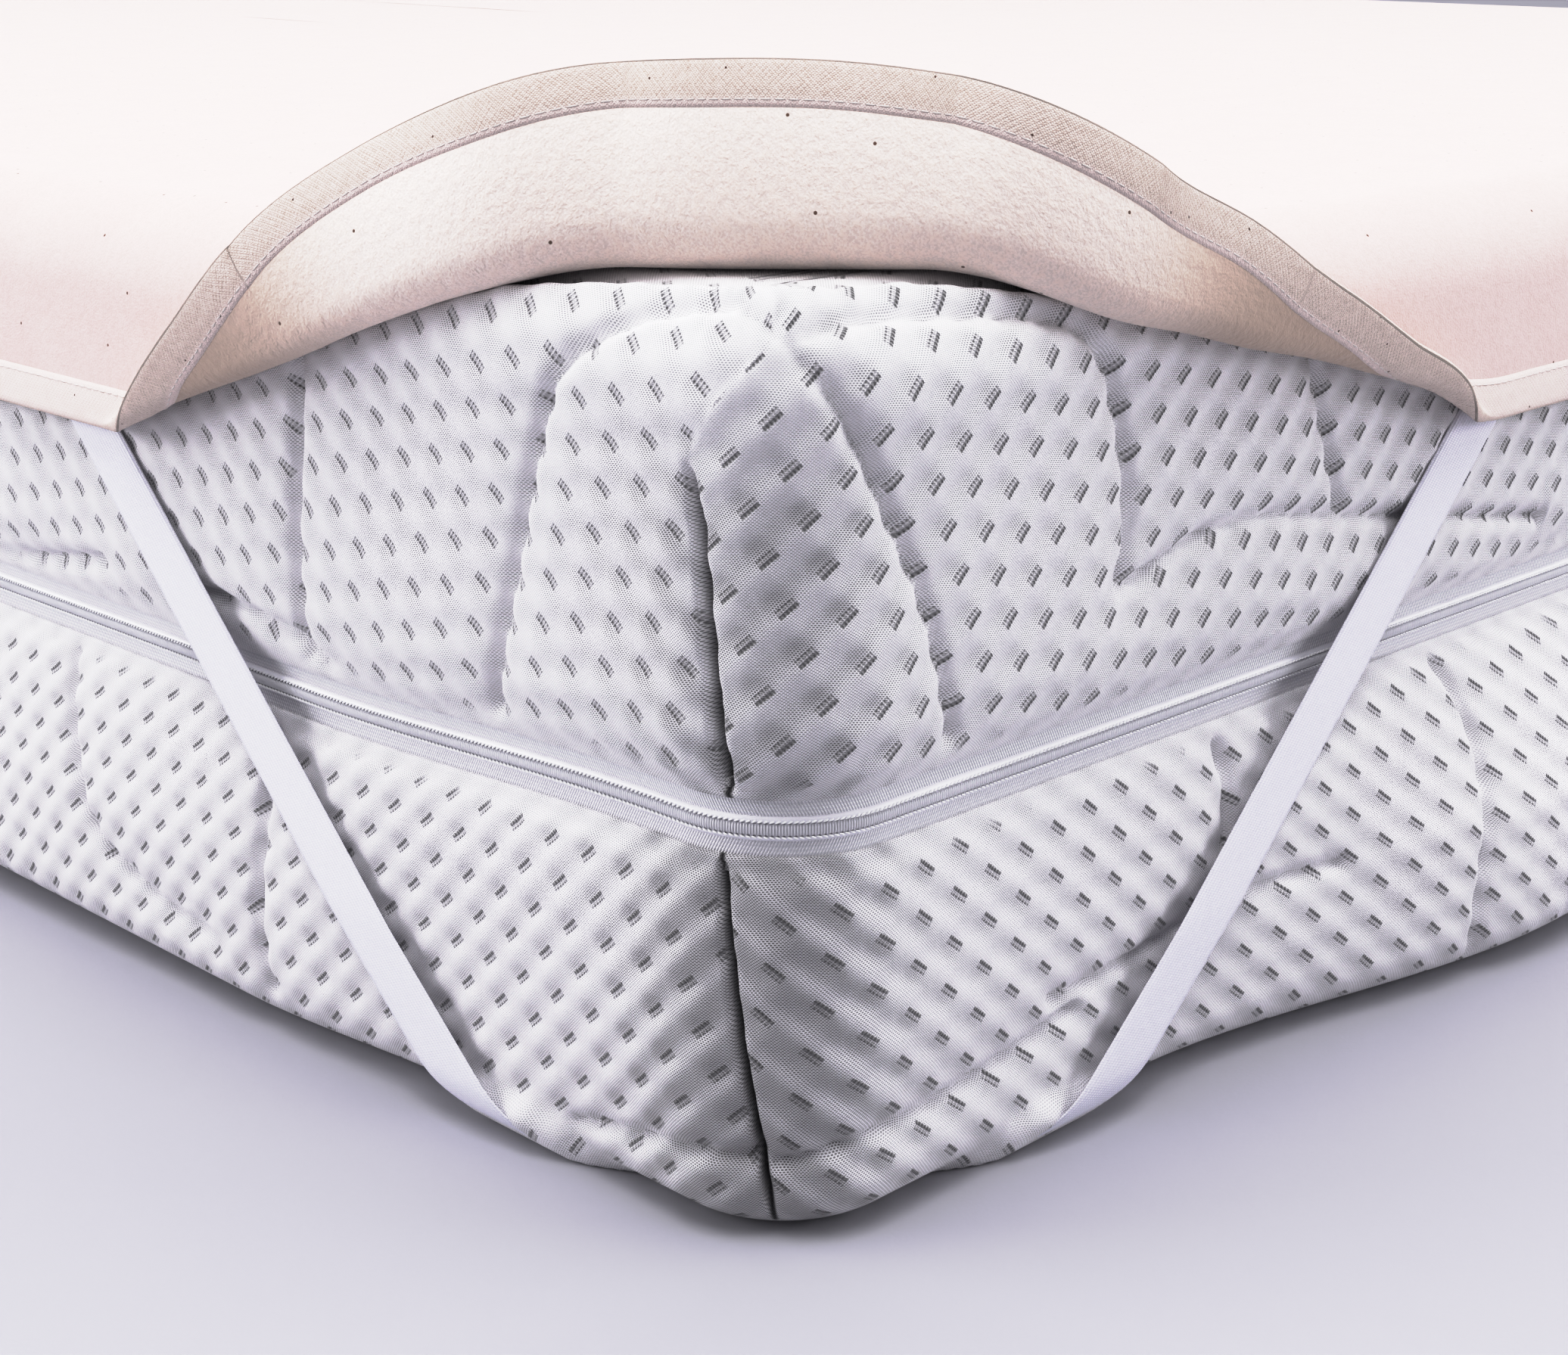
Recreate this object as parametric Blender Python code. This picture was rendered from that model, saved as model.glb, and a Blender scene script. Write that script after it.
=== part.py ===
"""A cotton mattress topper on a zip-covered mattress.

The bound sheet lies on the mattress and hangs a little way down its sides. Flat elastic
straps hold it at the corners. At the front left corner the sheet's rounded corner is turned
back up, so that its underside shows. Metres, +Z up, origin under the middle of the mattress.
The front left corner is the one at -X, -Y.
"""

import math

import bmesh
import bpy
import numpy as np

# Mattress
WIDTH = 1.200
LENGTH = 2.000
HEIGHT = 0.210
PLAN_RADIUS = 0.032
TOP_RADIUS = 0.026
BASE_RADIUS = 0.016
BASE_BULGE = 0.003
ROLL_STEPS = 4
CORNER_STEPS = 6
DART_DEPTH = 0.003

# How soft the mattress's sides are: "swell" is how far the lower half swells out, from
# nothing at "start" from the corner's tip to all of it at "full", and "sag" how far the
# zip hangs below its height there
SIDES = {
    "front": {"start": 0.125, "full": 0.290, "swell": 0.026, "sag": 0.0},
    "right": {"start": 0.110, "full": 0.200, "swell": 0.007, "sag": 0.0},
    "back": {"start": 0.110, "full": 0.200, "swell": 0.007, "sag": 0.0},
    "left": {"start": 0.110, "full": 0.200, "swell": 0.007, "sag": 0.0045},
}
SAG_START = 0.040
SAG_FULL = 0.170
SIDE_STATIONS = (0.070, 0.100, 0.135, 0.165, 0.200, 0.245, 0.290)

# Zip round the middle of the mattress
ZIP_Z = 0.0975
GAP = 0.0003
COIL_HALF = 0.0028
COIL_FRONT = 0.0019
COIL_BACK = 0.0044
TAPE_BACK = 0.0062
TAPE_HALF = 0.0103
LIP_Z = 0.0064
LIP_FRONT = 0.0022
FLAT_INSET = 0.040

# Topper sheet. Overhang is flat cloth past the mattress's nominal side.
SHEET = 0.002
OVERHANG = 0.0515
CUT_RADIUS = 0.200
BEND_RADIUS = 0.025
BEND_START = 0.022
FLARE = math.radians(5.0)
RING_IN = 0.130
SHEET_STEPS = {"x": 5, "y": 8}
ROWS_IN_BEND = 4
ROWS_IN_ROLL = 5
ROWS_IN_BINDING = 2

# Bias binding folded over the sheet's edge
BINDING = 0.0105
BINDING_SKIN = 0.0007
BINDING_RISE = 0.030

# Degrees from the middle of a plain corner at which the sheet's columns run
CORNER_PLACES = (-30, -19, -13, -8, -3.5, 0, 3.5, 8, 13, 19, 30)

# Elastic corner straps
STRAP_WIDTH = 0.017
STRAP = 0.001
STRAP_SLOPE = 1.13
STRAP_AT_HEM = 0.262
STRAP_HEM_Z = HEIGHT - 0.058
STRAP_TOP_Z = HEIGHT - 0.034
STRAP_BEND = 0.0143
STRAP_REST = 0.0008
STRAP_UNDER = 0.014
STRAP_BEND_STOPS = 6
CHANNEL_EASE = 0.0009

# How the front left corner of the sheet is turned back. A row for each station along its
# cut edge: "at" is the way along the edge from the corner's middle (negative is the left
# side), "trim" how far inside its plain outline the edge is cut there, "flap" the cloth
# turned back, "roll" the radius of the fold and "turn" its angle. Millimetres and degrees.
# Past the fold the cloth curls on a little.
CURL_RADIUS = 0.065
TURNED_BACK = [
    {"at": -310, "trim": 0, "flap": -40, "roll": 4.0, "turn": 150},
    {"at": -280, "trim": 0, "flap": -15, "roll": 4.0, "turn": 150},
    {"at": -258, "trim": 0, "flap": 0, "roll": 4.0, "turn": 150},
    {"at": -230, "trim": 0, "flap": 12, "roll": 4.1, "turn": 150},
    {"at": -190, "trim": 0, "flap": 27, "roll": 4.6, "turn": 151},
    {"at": -150, "trim": 0, "flap": 41, "roll": 5.4, "turn": 152},
    {"at": -110, "trim": 0, "flap": 48, "roll": 7.0, "turn": 140},
    {"at": -70, "trim": 0, "flap": 50, "roll": 9.0, "turn": 112},
    {"at": -30, "trim": 0, "flap": 51, "roll": 10.6, "turn": 99},
    {"at": 10, "trim": 0, "flap": 51, "roll": 10.9, "turn": 99},
    {"at": 50, "trim": 0, "flap": 47, "roll": 10.0, "turn": 105},
    {"at": 90, "trim": 0, "flap": 44, "roll": 8.0, "turn": 131},
    {"at": 130, "trim": 6, "flap": 37, "roll": 6.1, "turn": 150},
    {"at": 170, "trim": 9, "flap": 27, "roll": 4.8, "turn": 154},
    {"at": 210, "trim": 7, "flap": 18, "roll": 4.3, "turn": 151},
    {"at": 245, "trim": 3, "flap": 11, "roll": 4.0, "turn": 150},
    {"at": 271, "trim": 0, "flap": 0, "roll": 4.0, "turn": 150},
    {"at": 292, "trim": 0, "flap": -15, "roll": 4.0, "turn": 150},
    {"at": 330, "trim": 0, "flap": -40, "roll": 4.0, "turn": 150},
]


def clear_scene():
    for obj in list(bpy.data.objects):
        bpy.data.objects.remove(obj, do_unlink=True)


def material(name, colour, roughness):
    made = bpy.data.materials.new(name)
    made.use_nodes = True
    shader = made.node_tree.nodes["Principled BSDF"]
    shader.inputs["Base Color"].default_value = (*colour, 1.0)
    shader.inputs["Roughness"].default_value = roughness
    shader.inputs["Metallic"].default_value = 0.0
    return made


def solid(name, points, faces, finish):
    """A closed mesh object with its faces turned outward."""
    mesh = bpy.data.meshes.new(name)
    mesh.from_pydata([tuple(p) for p in points], [], faces)
    work = bmesh.new()
    work.from_mesh(mesh)
    bmesh.ops.recalc_face_normals(work, faces=work.faces)
    work.to_mesh(mesh)
    work.free()
    mesh.shade_smooth()
    mesh.set_sharp_from_angle(angle=math.radians(40))
    obj = bpy.data.objects.new(name, mesh)
    bpy.context.scene.collection.objects.link(obj)
    mesh.materials.append(finish)
    return obj


def lofted(name, rings, finish, closed_loop=False):
    """A solid from rings of equal length. Its ends are capped, or joined to each other.
    Every quad is cut the same way, so that neighbours of like shape don't cross."""
    count = len(rings[0])
    points = [p for ring in rings for p in ring]
    faces = []
    last = len(rings) if closed_loop else len(rings) - 1
    for i in range(last):
        low, high = i * count, (i + 1) % len(rings) * count
        for j in range(count):
            k = (j + 1) % count
            faces += [(low + j, low + k, high + k), (low + j, high + k, high + j)]
    if not closed_loop:
        faces.append(tuple(range(count)))
        faces.append(tuple(range(len(points) - count, len(points))))
    return solid(name, points, faces, finish)


# ---- mattress and zip


def smooth_step(share):
    share = min(max(share, 0.0), 1.0)
    return share * share * (3 - 2 * share)


def cover_ring(inset, z, crease=0.0, swell=0.0, sag=0.0):
    """Points round the mattress at one height. The middle of each corner is creased in, and
    "swell" and "sag" are the shares of the sides' swell and sag there."""
    radius = max(PLAN_RADIUS - inset, 0.004)
    half_x, half_y = WIDTH / 2 - inset, LENGTH / 2 - inset
    ring = []
    corners = ((-1, -1), (1, -1), (1, 1), (-1, 1))
    for quarter, ((sx, sy), side) in enumerate(zip(corners, SIDES)):
        centre = np.array([sx * (half_x - radius), sy * (half_y - radius)])
        for step in range(CORNER_STEPS + 1):
            angle = math.radians(180 + 90 * quarter + 90 * step / CORNER_STEPS)
            reach = radius - (crease if step * 2 == CORNER_STEPS else 0.0)
            spot = centre + reach * np.array([math.cos(angle), math.sin(angle)])
            ring.append((*spot, z))
        ring.extend(side_points(ring[-1], quarter % 2, SIDES[side], swell, sag))
    return ring


def side_points(first, axis, shape, swell, sag):
    """Points along the straight side that follows a corner, its two ends left out. It runs
    along X where axis is 0 and along Y where it is 1."""
    half = (WIDTH / 2, LENGTH / 2)[axis]
    stations = [half - s for s in SIDE_STATIONS]
    points = []
    for place in [*stations, 0.0, *(-p for p in reversed(stations))]:
        point = list(first)
        point[axis] = math.copysign(1.0, first[axis]) * place
        way = half - abs(place)
        swollen = shape["swell"] * smooth_step((way - shape["start"]) / (shape["full"] - shape["start"]))
        point[1 - axis] += math.copysign(swell * swollen, point[1 - axis])
        point[2] -= sag * shape["sag"] * smooth_step((way - SAG_START) / (SAG_FULL - SAG_START))
        points.append(tuple(point))
    return points


def quarter_roll(centre_inset, centre_z, radius, upward):
    """(inset, z) rows of a rolled edge, from its side to its flat."""
    rows = []
    for step in range(ROLL_STEPS + 1):
        angle = math.radians(90) * step / ROLL_STEPS
        rise = radius * math.sin(angle) * (1 if upward else -1)
        rows.append((centre_inset - radius * math.cos(angle), centre_z + rise))
    return rows


def rebate_rows(side):
    """(inset, z) rows of the step that holds the zip tape. side is 1 above, -1 below."""
    wall = TAPE_BACK + GAP
    return [
        (wall, ZIP_Z + side * GAP / 2),
        (wall, ZIP_Z + side * (TAPE_HALF + GAP)),
        (COIL_BACK, ZIP_Z + side * (TAPE_HALF + GAP)),
        (COIL_BACK, ZIP_Z + side * LIP_Z),
        (LIP_FRONT, ZIP_Z + side * LIP_Z),
        (0.0004, ZIP_Z + side * (LIP_Z + 0.0035)),
    ]


def make_cover_upper(finish):
    side = [(-0.0020, 0.118, 0.8), (-0.0012, 0.136, 0.5), (-0.0004, 0.152, 0.2), (0.0, 0.168, 0.0)]
    roll = quarter_roll(TOP_RADIUS, HEIGHT - TOP_RADIUS, TOP_RADIUS, True)
    rings = [cover_ring(FLAT_INSET, ZIP_Z + GAP / 2)]
    rings += [cover_ring(inset, z, sag=1.0) for inset, z in rebate_rows(1)]
    rings += [cover_ring(inset, z, DART_DEPTH, sag=sag) for inset, z, sag in side]
    rings += [cover_ring(inset, z) for inset, z in roll]
    return lofted("mattress_cover_upper", rings, finish)


def make_cover_lower(finish, channels):
    side = [(-0.0020, 0.072, 0.4), (-BASE_BULGE, 0.045, 0.9), (-BASE_BULGE, 0.027, 1.0)]
    roll = quarter_roll(BASE_RADIUS - BASE_BULGE, BASE_RADIUS, BASE_RADIUS, False)
    rings = [cover_ring(FLAT_INSET, ZIP_Z - GAP / 2)]
    rings += [cover_ring(inset, z, sag=1.0) for inset, z in rebate_rows(-1)]
    rings += [cover_ring(inset, z, DART_DEPTH, swell, 1 - swell) for inset, z, swell in side]
    rings += [cover_ring(inset, z, swell=1.0) for inset, z in roll]
    cover = lofted("mattress_cover_lower", rings, finish)
    for channel in channels:
        cut = cover.modifiers.new(channel.name, "BOOLEAN")
        cut.operation = "DIFFERENCE"
        cut.object = channel
    return cover


def make_band(name, section, finish):
    """A band round the mattress with a section given as (inset, z) rows."""
    rings = [cover_ring(inset, z, sag=1.0) for inset, z in section]
    return lofted(name, rings, finish, closed_loop=True)


def make_zip(tape, coil):
    front = COIL_BACK + GAP
    for name, side in (("zip_tape_upper", 1), ("zip_tape_lower", -1)):
        low, high = ZIP_Z + side * GAP / 2, ZIP_Z + side * TAPE_HALF
        make_band(name, [(front, low), (front, high), (TAPE_BACK, high), (TAPE_BACK, low)], tape)
    shoulder = COIL_HALF * 0.55
    section = [(COIL_BACK, -COIL_HALF), (COIL_FRONT + 0.001, -COIL_HALF), (COIL_FRONT, -shoulder)]
    section += [(inset, -z) for inset, z in reversed(section)]
    make_band("zip_coil", [(inset, ZIP_Z + z) for inset, z in section], coil)


# ---- topper sheet


def drape_profile(past):
    """(reach past the side, drop) of the sheet's middle, for flat cloth past the side."""
    turn = math.pi / 2 - FLARE
    along = past + BEND_START
    if along <= 0:
        return past, 0.0
    angle = min(along / BEND_RADIUS, turn)
    reach = -BEND_START + BEND_RADIUS * math.sin(angle)
    drop = BEND_RADIUS * (1 - math.cos(angle))
    rest = max(along - BEND_RADIUS * turn, 0.0)
    return reach + rest * math.cos(turn), drop + rest * math.sin(turn)


def draped(flat):
    """Where a point of the flat sheet lies on the mattress: the middle of its thickness."""
    x_reach, x_drop = drape_profile(abs(flat[0]) - WIDTH / 2)
    y_reach, y_drop = drape_profile(abs(flat[1]) - LENGTH / 2)
    x = math.copysign(WIDTH / 2 + x_reach, flat[0])
    y = math.copysign(LENGTH / 2 + y_reach, flat[1])
    z = HEIGHT + GAP + SHEET / 2 - x_drop - y_drop
    return np.array([x, y, z])


HALF = np.array([WIDTH / 2 + OVERHANG, LENGTH / 2 + OVERHANG])
ARC = CUT_RADIUS * math.pi / 2
RUN_X = 2 * (HALF[0] - CUT_RADIUS)
RUN_Y = 2 * (HALF[1] - CUT_RADIUS)
ROUND = 2 * (RUN_X + RUN_Y) + 4 * ARC


def cut_edge(at):
    """The flat sheet's edge, "at" metres from the middle of its front left corner and to
    the right of it: the point and the outward direction there."""
    left = (at + ARC / 2) % ROUND
    core = HALF - CUT_RADIUS
    corners = (((-1, -1), RUN_X), ((1, -1), RUN_Y), ((1, 1), RUN_X), ((-1, 1), RUN_Y))
    for quarter, (signs, run) in enumerate(corners):
        centre = core * signs
        first = math.pi + quarter * math.pi / 2
        if left <= ARC:
            angle = first + left / CUT_RADIUS
            out = np.array([math.cos(angle), math.sin(angle)])
            return centre + CUT_RADIUS * out, out
        left -= ARC
        if left <= run:
            angle = first + math.pi / 2
            out = np.array([math.cos(angle), math.sin(angle)])
            return centre + CUT_RADIUS * out + left * np.array([-out[1], out[0]]), out
        left -= run
    raise ValueError("past the end of the edge")


def turned_back(at, column):
    """A column of TURNED_BACK at any place along the edge, on a smooth curve."""
    places = [row["at"] / 1000 for row in TURNED_BACK]
    values = [row[column] for row in TURNED_BACK]
    if not places[0] < at < places[-1]:
        return values[0]
    i = max(k for k in range(len(places) - 1) if places[k] <= at)
    slopes = np.gradient(values, places)
    span = places[i + 1] - places[i]
    t = (at - places[i]) / span
    h = (2 * t**3 - 3 * t**2 + 1, t**3 - 2 * t**2 + t, -2 * t**3 + 3 * t**2, t**3 - t**2)
    return h[0] * values[i] + h[1] * span * slopes[i] + h[2] * values[i + 1] + h[3] * span * slopes[i + 1]


def fold_line(at):
    """The flat sheet's point on the fold, straight in from a place on its edge."""
    edge, out = cut_edge(at)
    return edge - out * (turned_back(at, "trim") + turned_back(at, "flap")) / 1000


class Column:
    """One line of cloth from the sheet's inner ring out to its cut edge."""

    def __init__(self, at):
        self.at = at
        self.edge, self.out = cut_edge(at)
        near = (at + ROUND / 2) % ROUND - ROUND / 2
        self.start = self.edge - self.out * (RING_IN + OVERHANG)
        self.length = RING_IN + OVERHANG - turned_back(near, "trim") / 1000
        self.flap = turned_back(near, "flap") / 1000
        self.roll = turned_back(near, "roll") / 1000
        self.turn = math.radians(turned_back(near, "turn"))
        self.fold = self.length - self.flap
        if self.flap > 0:
            self.set_fold(near)

    def set_fold(self, near):
        """The frame of the fold: along it, across it and away from the mattress."""
        step = 0.001
        line = fold_line(near + step) - fold_line(near - step)
        line /= np.linalg.norm(line)
        across = np.array([line[1], -line[0]])
        self.slide = float(self.out @ line)
        self.climb = float(self.out @ across)
        flat = self.start + self.out * self.fold
        self.origin = self.lying(self.fold)
        self.along = draped(flat + step * line) - draped(flat - step * line)
        self.across = draped(flat + step * across) - draped(flat - step * across)
        self.along /= np.linalg.norm(self.along)
        self.across /= np.linalg.norm(self.across)
        self.away = np.cross(self.along, self.across)
        if self.away[2] < 0 or self.away @ np.append(flat, 0.0) < 0:
            self.away = -self.away if self.away @ np.append(flat, HEIGHT) < 0 else self.away

    def lying(self, way):
        """The cloth on the mattress, raised a little near the edge by its binding."""
        rise = (GAP + BINDING_SKIN) * smooth_step(1 - (self.length - BINDING - way) / BINDING_RISE)
        return draped(self.start + self.out * way) + np.array([0.0, 0.0, rise])

    def point(self, way):
        """The cloth's middle surface, this far from the inner ring."""
        past = way - self.fold
        if self.flap <= 0 or past <= 0:
            return self.lying(way)
        bent = min(self.climb * past, self.roll * self.turn)
        angle = bent / self.roll
        last = angle + (self.climb * past - bent) / CURL_RADIUS
        forward = self.roll * math.sin(angle) + CURL_RADIUS * (math.sin(last) - math.sin(angle))
        upward = self.roll * (1 - math.cos(angle)) + CURL_RADIUS * (math.cos(angle) - math.cos(last))
        return self.origin + self.slide * past * self.along + forward * self.across + upward * self.away

    def bend_start(self):
        """How far out along this column the mattress's rolled edge begins."""
        inside = np.array([WIDTH, LENGTH]) / 2 - BEND_START - np.abs(self.start)
        speed = np.abs(self.out)
        return min(inside[i] / speed[i] for i in range(2) if speed[i] > 1e-6)

    def ways(self):
        """Distances of the rows of points, closer where the cloth bends."""
        bound = self.length - BINDING
        fold = min(self.fold, bound - 0.006) if self.flap > 0 else bound - 0.010
        first = min(self.bend_start(), fold - 0.030)
        last = min(first + BEND_RADIUS * math.pi / 2, fold - 0.003)
        bend = list(np.linspace(first, last, ROWS_IN_BEND))
        roll_end = bound - 0.001
        if self.flap > 0:
            roll_end = min(roll_end, self.fold + self.roll * self.turn / self.climb)
        roll = list(np.linspace(fold, max(roll_end, fold + 0.004), ROWS_IN_ROLL))
        return [0.0, first / 2, *bend, *roll, *np.linspace(bound, self.length, ROWS_IN_BINDING + 1)]


def column_places():
    """Places along the cut edge: close at the turned-back corner, wide on the straights."""
    left = [-0.310, -0.290, *np.arange(-0.277, -0.200, 0.007), *np.arange(-0.184, -0.02, 0.023)]
    right = [*np.arange(0.0, 0.20, 0.023), *np.arange(0.2035, 0.290, 0.007), 0.305, 0.330]
    rest = []
    start = ARC / 2
    for run, steps in ((RUN_X, SHEET_STEPS["x"]), (RUN_Y, SHEET_STEPS["y"]), (RUN_X, SHEET_STEPS["x"])):
        rest += list(np.linspace(start, start + run, steps + 1))
        rest += [start + run + ARC / 2 + CUT_RADIUS * math.radians(turn) for turn in CORNER_PLACES]
        start += run + ARC
    rest += list(np.linspace(start, start + RUN_Y, SHEET_STEPS["y"] + 1))
    apart = 0.05
    return left + right + [p for p in rest if right[-1] + apart < p < ROUND + left[0] - apart]


def sheet_grid():
    """Middle points and unit normals of the sheet, a line for each column."""
    columns = [Column(at) for at in column_places()]
    grid = np.array([[c.point(way) for way in c.ways()] for c in columns])
    round_the_edge = np.roll(grid, -1, axis=0) - np.roll(grid, 1, axis=0)
    outward = np.gradient(grid, axis=1)
    normals = np.cross(round_the_edge, outward)
    normals /= np.linalg.norm(normals, axis=2)[:, :, None]
    if normals[0, 0, 2] < 0:
        normals = -normals
    return grid, normals


def short_ways(grid):
    """Which way each quad of the sheet is cut in two: True from its own column's inner
    point. Every skin uses the same cuts, so that skins laid over each other don't cross."""
    after = np.roll(grid, -1, axis=0)
    forward = np.linalg.norm(after[:, 1:] - grid[:, :-1], axis=2)
    backward = np.linalg.norm(after[:, :-1] - grid[:, 1:], axis=2)
    return forward <= backward


def skin_faces(first, columns, rows, cuts):
    """Triangles of a skin that runs right round the sheet, its points numbered from "first"
    column by column."""
    faces = []
    for column in range(columns):
        near, far = first + column * rows, first + (column + 1) % columns * rows
        for row in range(rows - 1):
            a, b, c, d = near + row, far + row, far + row + 1, near + row + 1
            faces += [(a, b, c), (a, c, d)] if cuts[column][row] else [(a, b, d), (b, c, d)]
    return faces


def joining_faces(first, second, columns, rows, row):
    """Quads between the same row of two skins."""
    faces = []
    for column in range(columns):
        near, far = column * rows + row, (column + 1) % columns * rows + row
        faces.append((first + near, first + far, second + far, second + near))
    return faces


def make_sheet(grid, normals, finish):
    columns, rows = grid.shape[:2]
    skins = [grid + normals * SHEET / 2, grid - normals * SHEET / 2]
    cuts = short_ways(grid)
    under = columns * rows
    faces = skin_faces(0, columns, rows, cuts) + skin_faces(under, columns, rows, cuts)
    faces += joining_faces(0, under, columns, rows, rows - 1)
    for first in (0, under):
        faces.append(tuple(first + column * rows for column in range(columns)))
    solid("topper_sheet", np.concatenate(skins).reshape(-1, 3), faces, finish)


def make_binding(grid, normals, finish):
    """A strip folded over the edge: an outer and an inner skin on each side of the sheet,
    joined past its edge."""
    cuts = short_ways(grid)[:, -ROWS_IN_BINDING:]
    past = grid[:, -1] - grid[:, -2]
    past /= np.linalg.norm(past, axis=1)[:, None]
    grid, normals = grid[:, -ROWS_IN_BINDING - 1 :], normals[:, -ROWS_IN_BINDING - 1 :]
    columns, rows = grid.shape[:2]
    count = columns * rows
    skins = []
    for side in (1, -1):
        for lift in (GAP + BINDING_SKIN, GAP):
            skin = grid + normals * side * (SHEET / 2 + lift)
            skin[:, -1] += past * lift
            skins.append(skin)
    faces = []
    for first in range(0, 4 * count, count):
        faces += skin_faces(first, columns, rows, cuts)
    for outer in (0, 2 * count):
        faces += joining_faces(outer, outer + count, columns, rows, 0)
    for first in (0, count):
        faces += joining_faces(first, first + 2 * count, columns, rows, rows - 1)
    solid("topper_binding", np.concatenate(skins).reshape(-1, 3), faces, finish)


# ---- corner straps


def strap_point(down, along, lift):
    """A point on the strap's path: "down" from the hem, over the mattress's lower edge and
    under it, "along" the side from the corner, "lift" away from the mattress. It gives the
    inset from the side, the place along it, and the height."""
    straight = STRAP_HEM_Z - STRAP_BEND - STRAP_REST
    z = STRAP_HEM_Z - min(down, straight)
    reach = np.interp(z, [0.045, 0.116, STRAP_HEM_Z, STRAP_TOP_Z], [0.0086, 0.0042, 0.0018, 0.0009])
    angle = min(max(down - straight, 0) / STRAP_BEND, math.pi / 2)
    under = max(down - straight - STRAP_BEND * math.pi / 2, 0)
    inset = -reach + STRAP_BEND * (1 - math.cos(angle)) + under - lift * math.cos(angle)
    return inset, along, z - (STRAP_BEND + lift) * math.sin(angle)


def strap_side(width, inner, outer):
    """Four-cornered sections down one side of a corner, as (inset, along, z). Each is cut
    level, so that it lies straight on the mattress's rolled lower edge."""
    straight = STRAP_HEM_Z - STRAP_BEND - STRAP_REST
    bend_end = straight + STRAP_BEND * math.pi / 2
    stops = [STRAP_HEM_Z - STRAP_TOP_Z, 0.0, 0.026, 0.060, 0.097]
    stops += [*np.linspace(straight, bend_end, STRAP_BEND_STOPS), bend_end + STRAP_UNDER]
    half = width / 2 * math.hypot(1, STRAP_SLOPE)
    sections = []
    for down in stops:
        middle = STRAP_AT_HEM - STRAP_SLOPE * down
        first, second = middle + half, middle - half
        skin = [(first, outer), (second, outer), (second, -inner), (first, -inner)]
        sections.append([strap_point(down, along, lift) for along, lift in skin])
    return sections


def strap_rings(signs, width, inner, outer):
    """Sections of a whole strap, from one side of a corner under it to the other side."""
    sx, sy = signs
    sections = strap_side(width, inner, outer)
    one = [[(sx * (WIDTH / 2 - i), sy * (LENGTH / 2 - a), z) for i, a, z in s] for s in sections]
    other = [[(sx * (WIDTH / 2 - a), sy * (LENGTH / 2 - i), z) for i, a, z in s] for s in sections]
    return one + other[::-1]


CORNERS = {
    "front_left": (-1, -1),
    "front_right": (1, -1),
    "back_right": (1, 1),
    "back_left": (-1, 1),
}


def make_straps(finish):
    for name, signs in CORNERS.items():
        lofted("corner_strap_" + name, strap_rings(signs, STRAP_WIDTH, STRAP / 2, STRAP / 2), finish)


def make_channels(finish):
    """Cutters for the hollows that the straps press into the mattress's underside."""
    channels = []
    for name, signs in CORNERS.items():
        rings = strap_rings(signs, STRAP_WIDTH + CHANNEL_EASE, STRAP / 2 + CHANNEL_EASE, 0.003)
        half = len(rings) // 2
        reach = STRAP_BEND_STOPS + 1
        channel = lofted("channel_" + name, rings[half - reach : half + reach], finish)
        channel.hide_render = True
        channel.display_type = "WIRE"
        channels.append(channel)
    return channels


def main():
    clear_scene()
    knit = material("white_knit", (0.80, 0.78, 0.82), 0.85)
    tape = material("white_tape", (0.76, 0.74, 0.78), 0.7)
    coil = material("clear_coil", (0.62, 0.62, 0.68), 0.35)
    flannel = material("natural_flannel", (0.90, 0.82, 0.78), 0.95)
    bias = material("beige_binding", (0.78, 0.68, 0.62), 0.9)
    elastic = material("white_elastic", (0.82, 0.81, 0.90), 0.75)
    make_cover_upper(knit)
    make_cover_lower(knit, make_channels(knit))
    make_zip(tape, coil)
    grid, normals = sheet_grid()
    make_sheet(grid, normals, flannel)
    make_binding(grid, normals, bias)
    make_straps(elastic)


main()
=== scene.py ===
"""A cotton mattress topper on a quilted mattress with a zip, seen towards one corner.

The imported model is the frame. Finer pieces stand for its soft solids, built from the same
named sizes: the two covers with their slit knit and quilting, the zip's tapes and coil, the
bound flannel sheet with its turned-back corner, and the elastic corner straps.
Metres, unless a name or comment says millimetres.
"""

import math

import bpy
import numpy as np
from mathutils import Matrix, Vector, noise


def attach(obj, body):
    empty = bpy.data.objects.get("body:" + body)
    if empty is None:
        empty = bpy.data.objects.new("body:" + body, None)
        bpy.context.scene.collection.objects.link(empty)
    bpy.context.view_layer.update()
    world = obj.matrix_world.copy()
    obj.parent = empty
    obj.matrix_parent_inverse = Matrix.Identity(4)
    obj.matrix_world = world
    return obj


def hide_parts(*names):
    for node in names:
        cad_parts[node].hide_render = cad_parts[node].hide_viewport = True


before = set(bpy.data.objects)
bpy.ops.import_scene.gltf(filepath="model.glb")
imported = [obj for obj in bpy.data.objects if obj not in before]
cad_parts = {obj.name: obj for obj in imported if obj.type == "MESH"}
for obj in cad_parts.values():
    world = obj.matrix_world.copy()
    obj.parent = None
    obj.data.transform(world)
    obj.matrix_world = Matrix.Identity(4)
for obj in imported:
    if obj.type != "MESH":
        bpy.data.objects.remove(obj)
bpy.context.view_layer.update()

# ---- sizes that the frame was built from

WIDTH = 1.200
LENGTH = 2.000
HEIGHT = 0.210
PLAN_RADIUS = 0.032
TOP_RADIUS = 0.026
BASE_RADIUS = 0.016
BASE_BULGE = 0.003
CORNER_SIGNS = ((-1, -1), (1, -1), (1, 1), (-1, 1))
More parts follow.
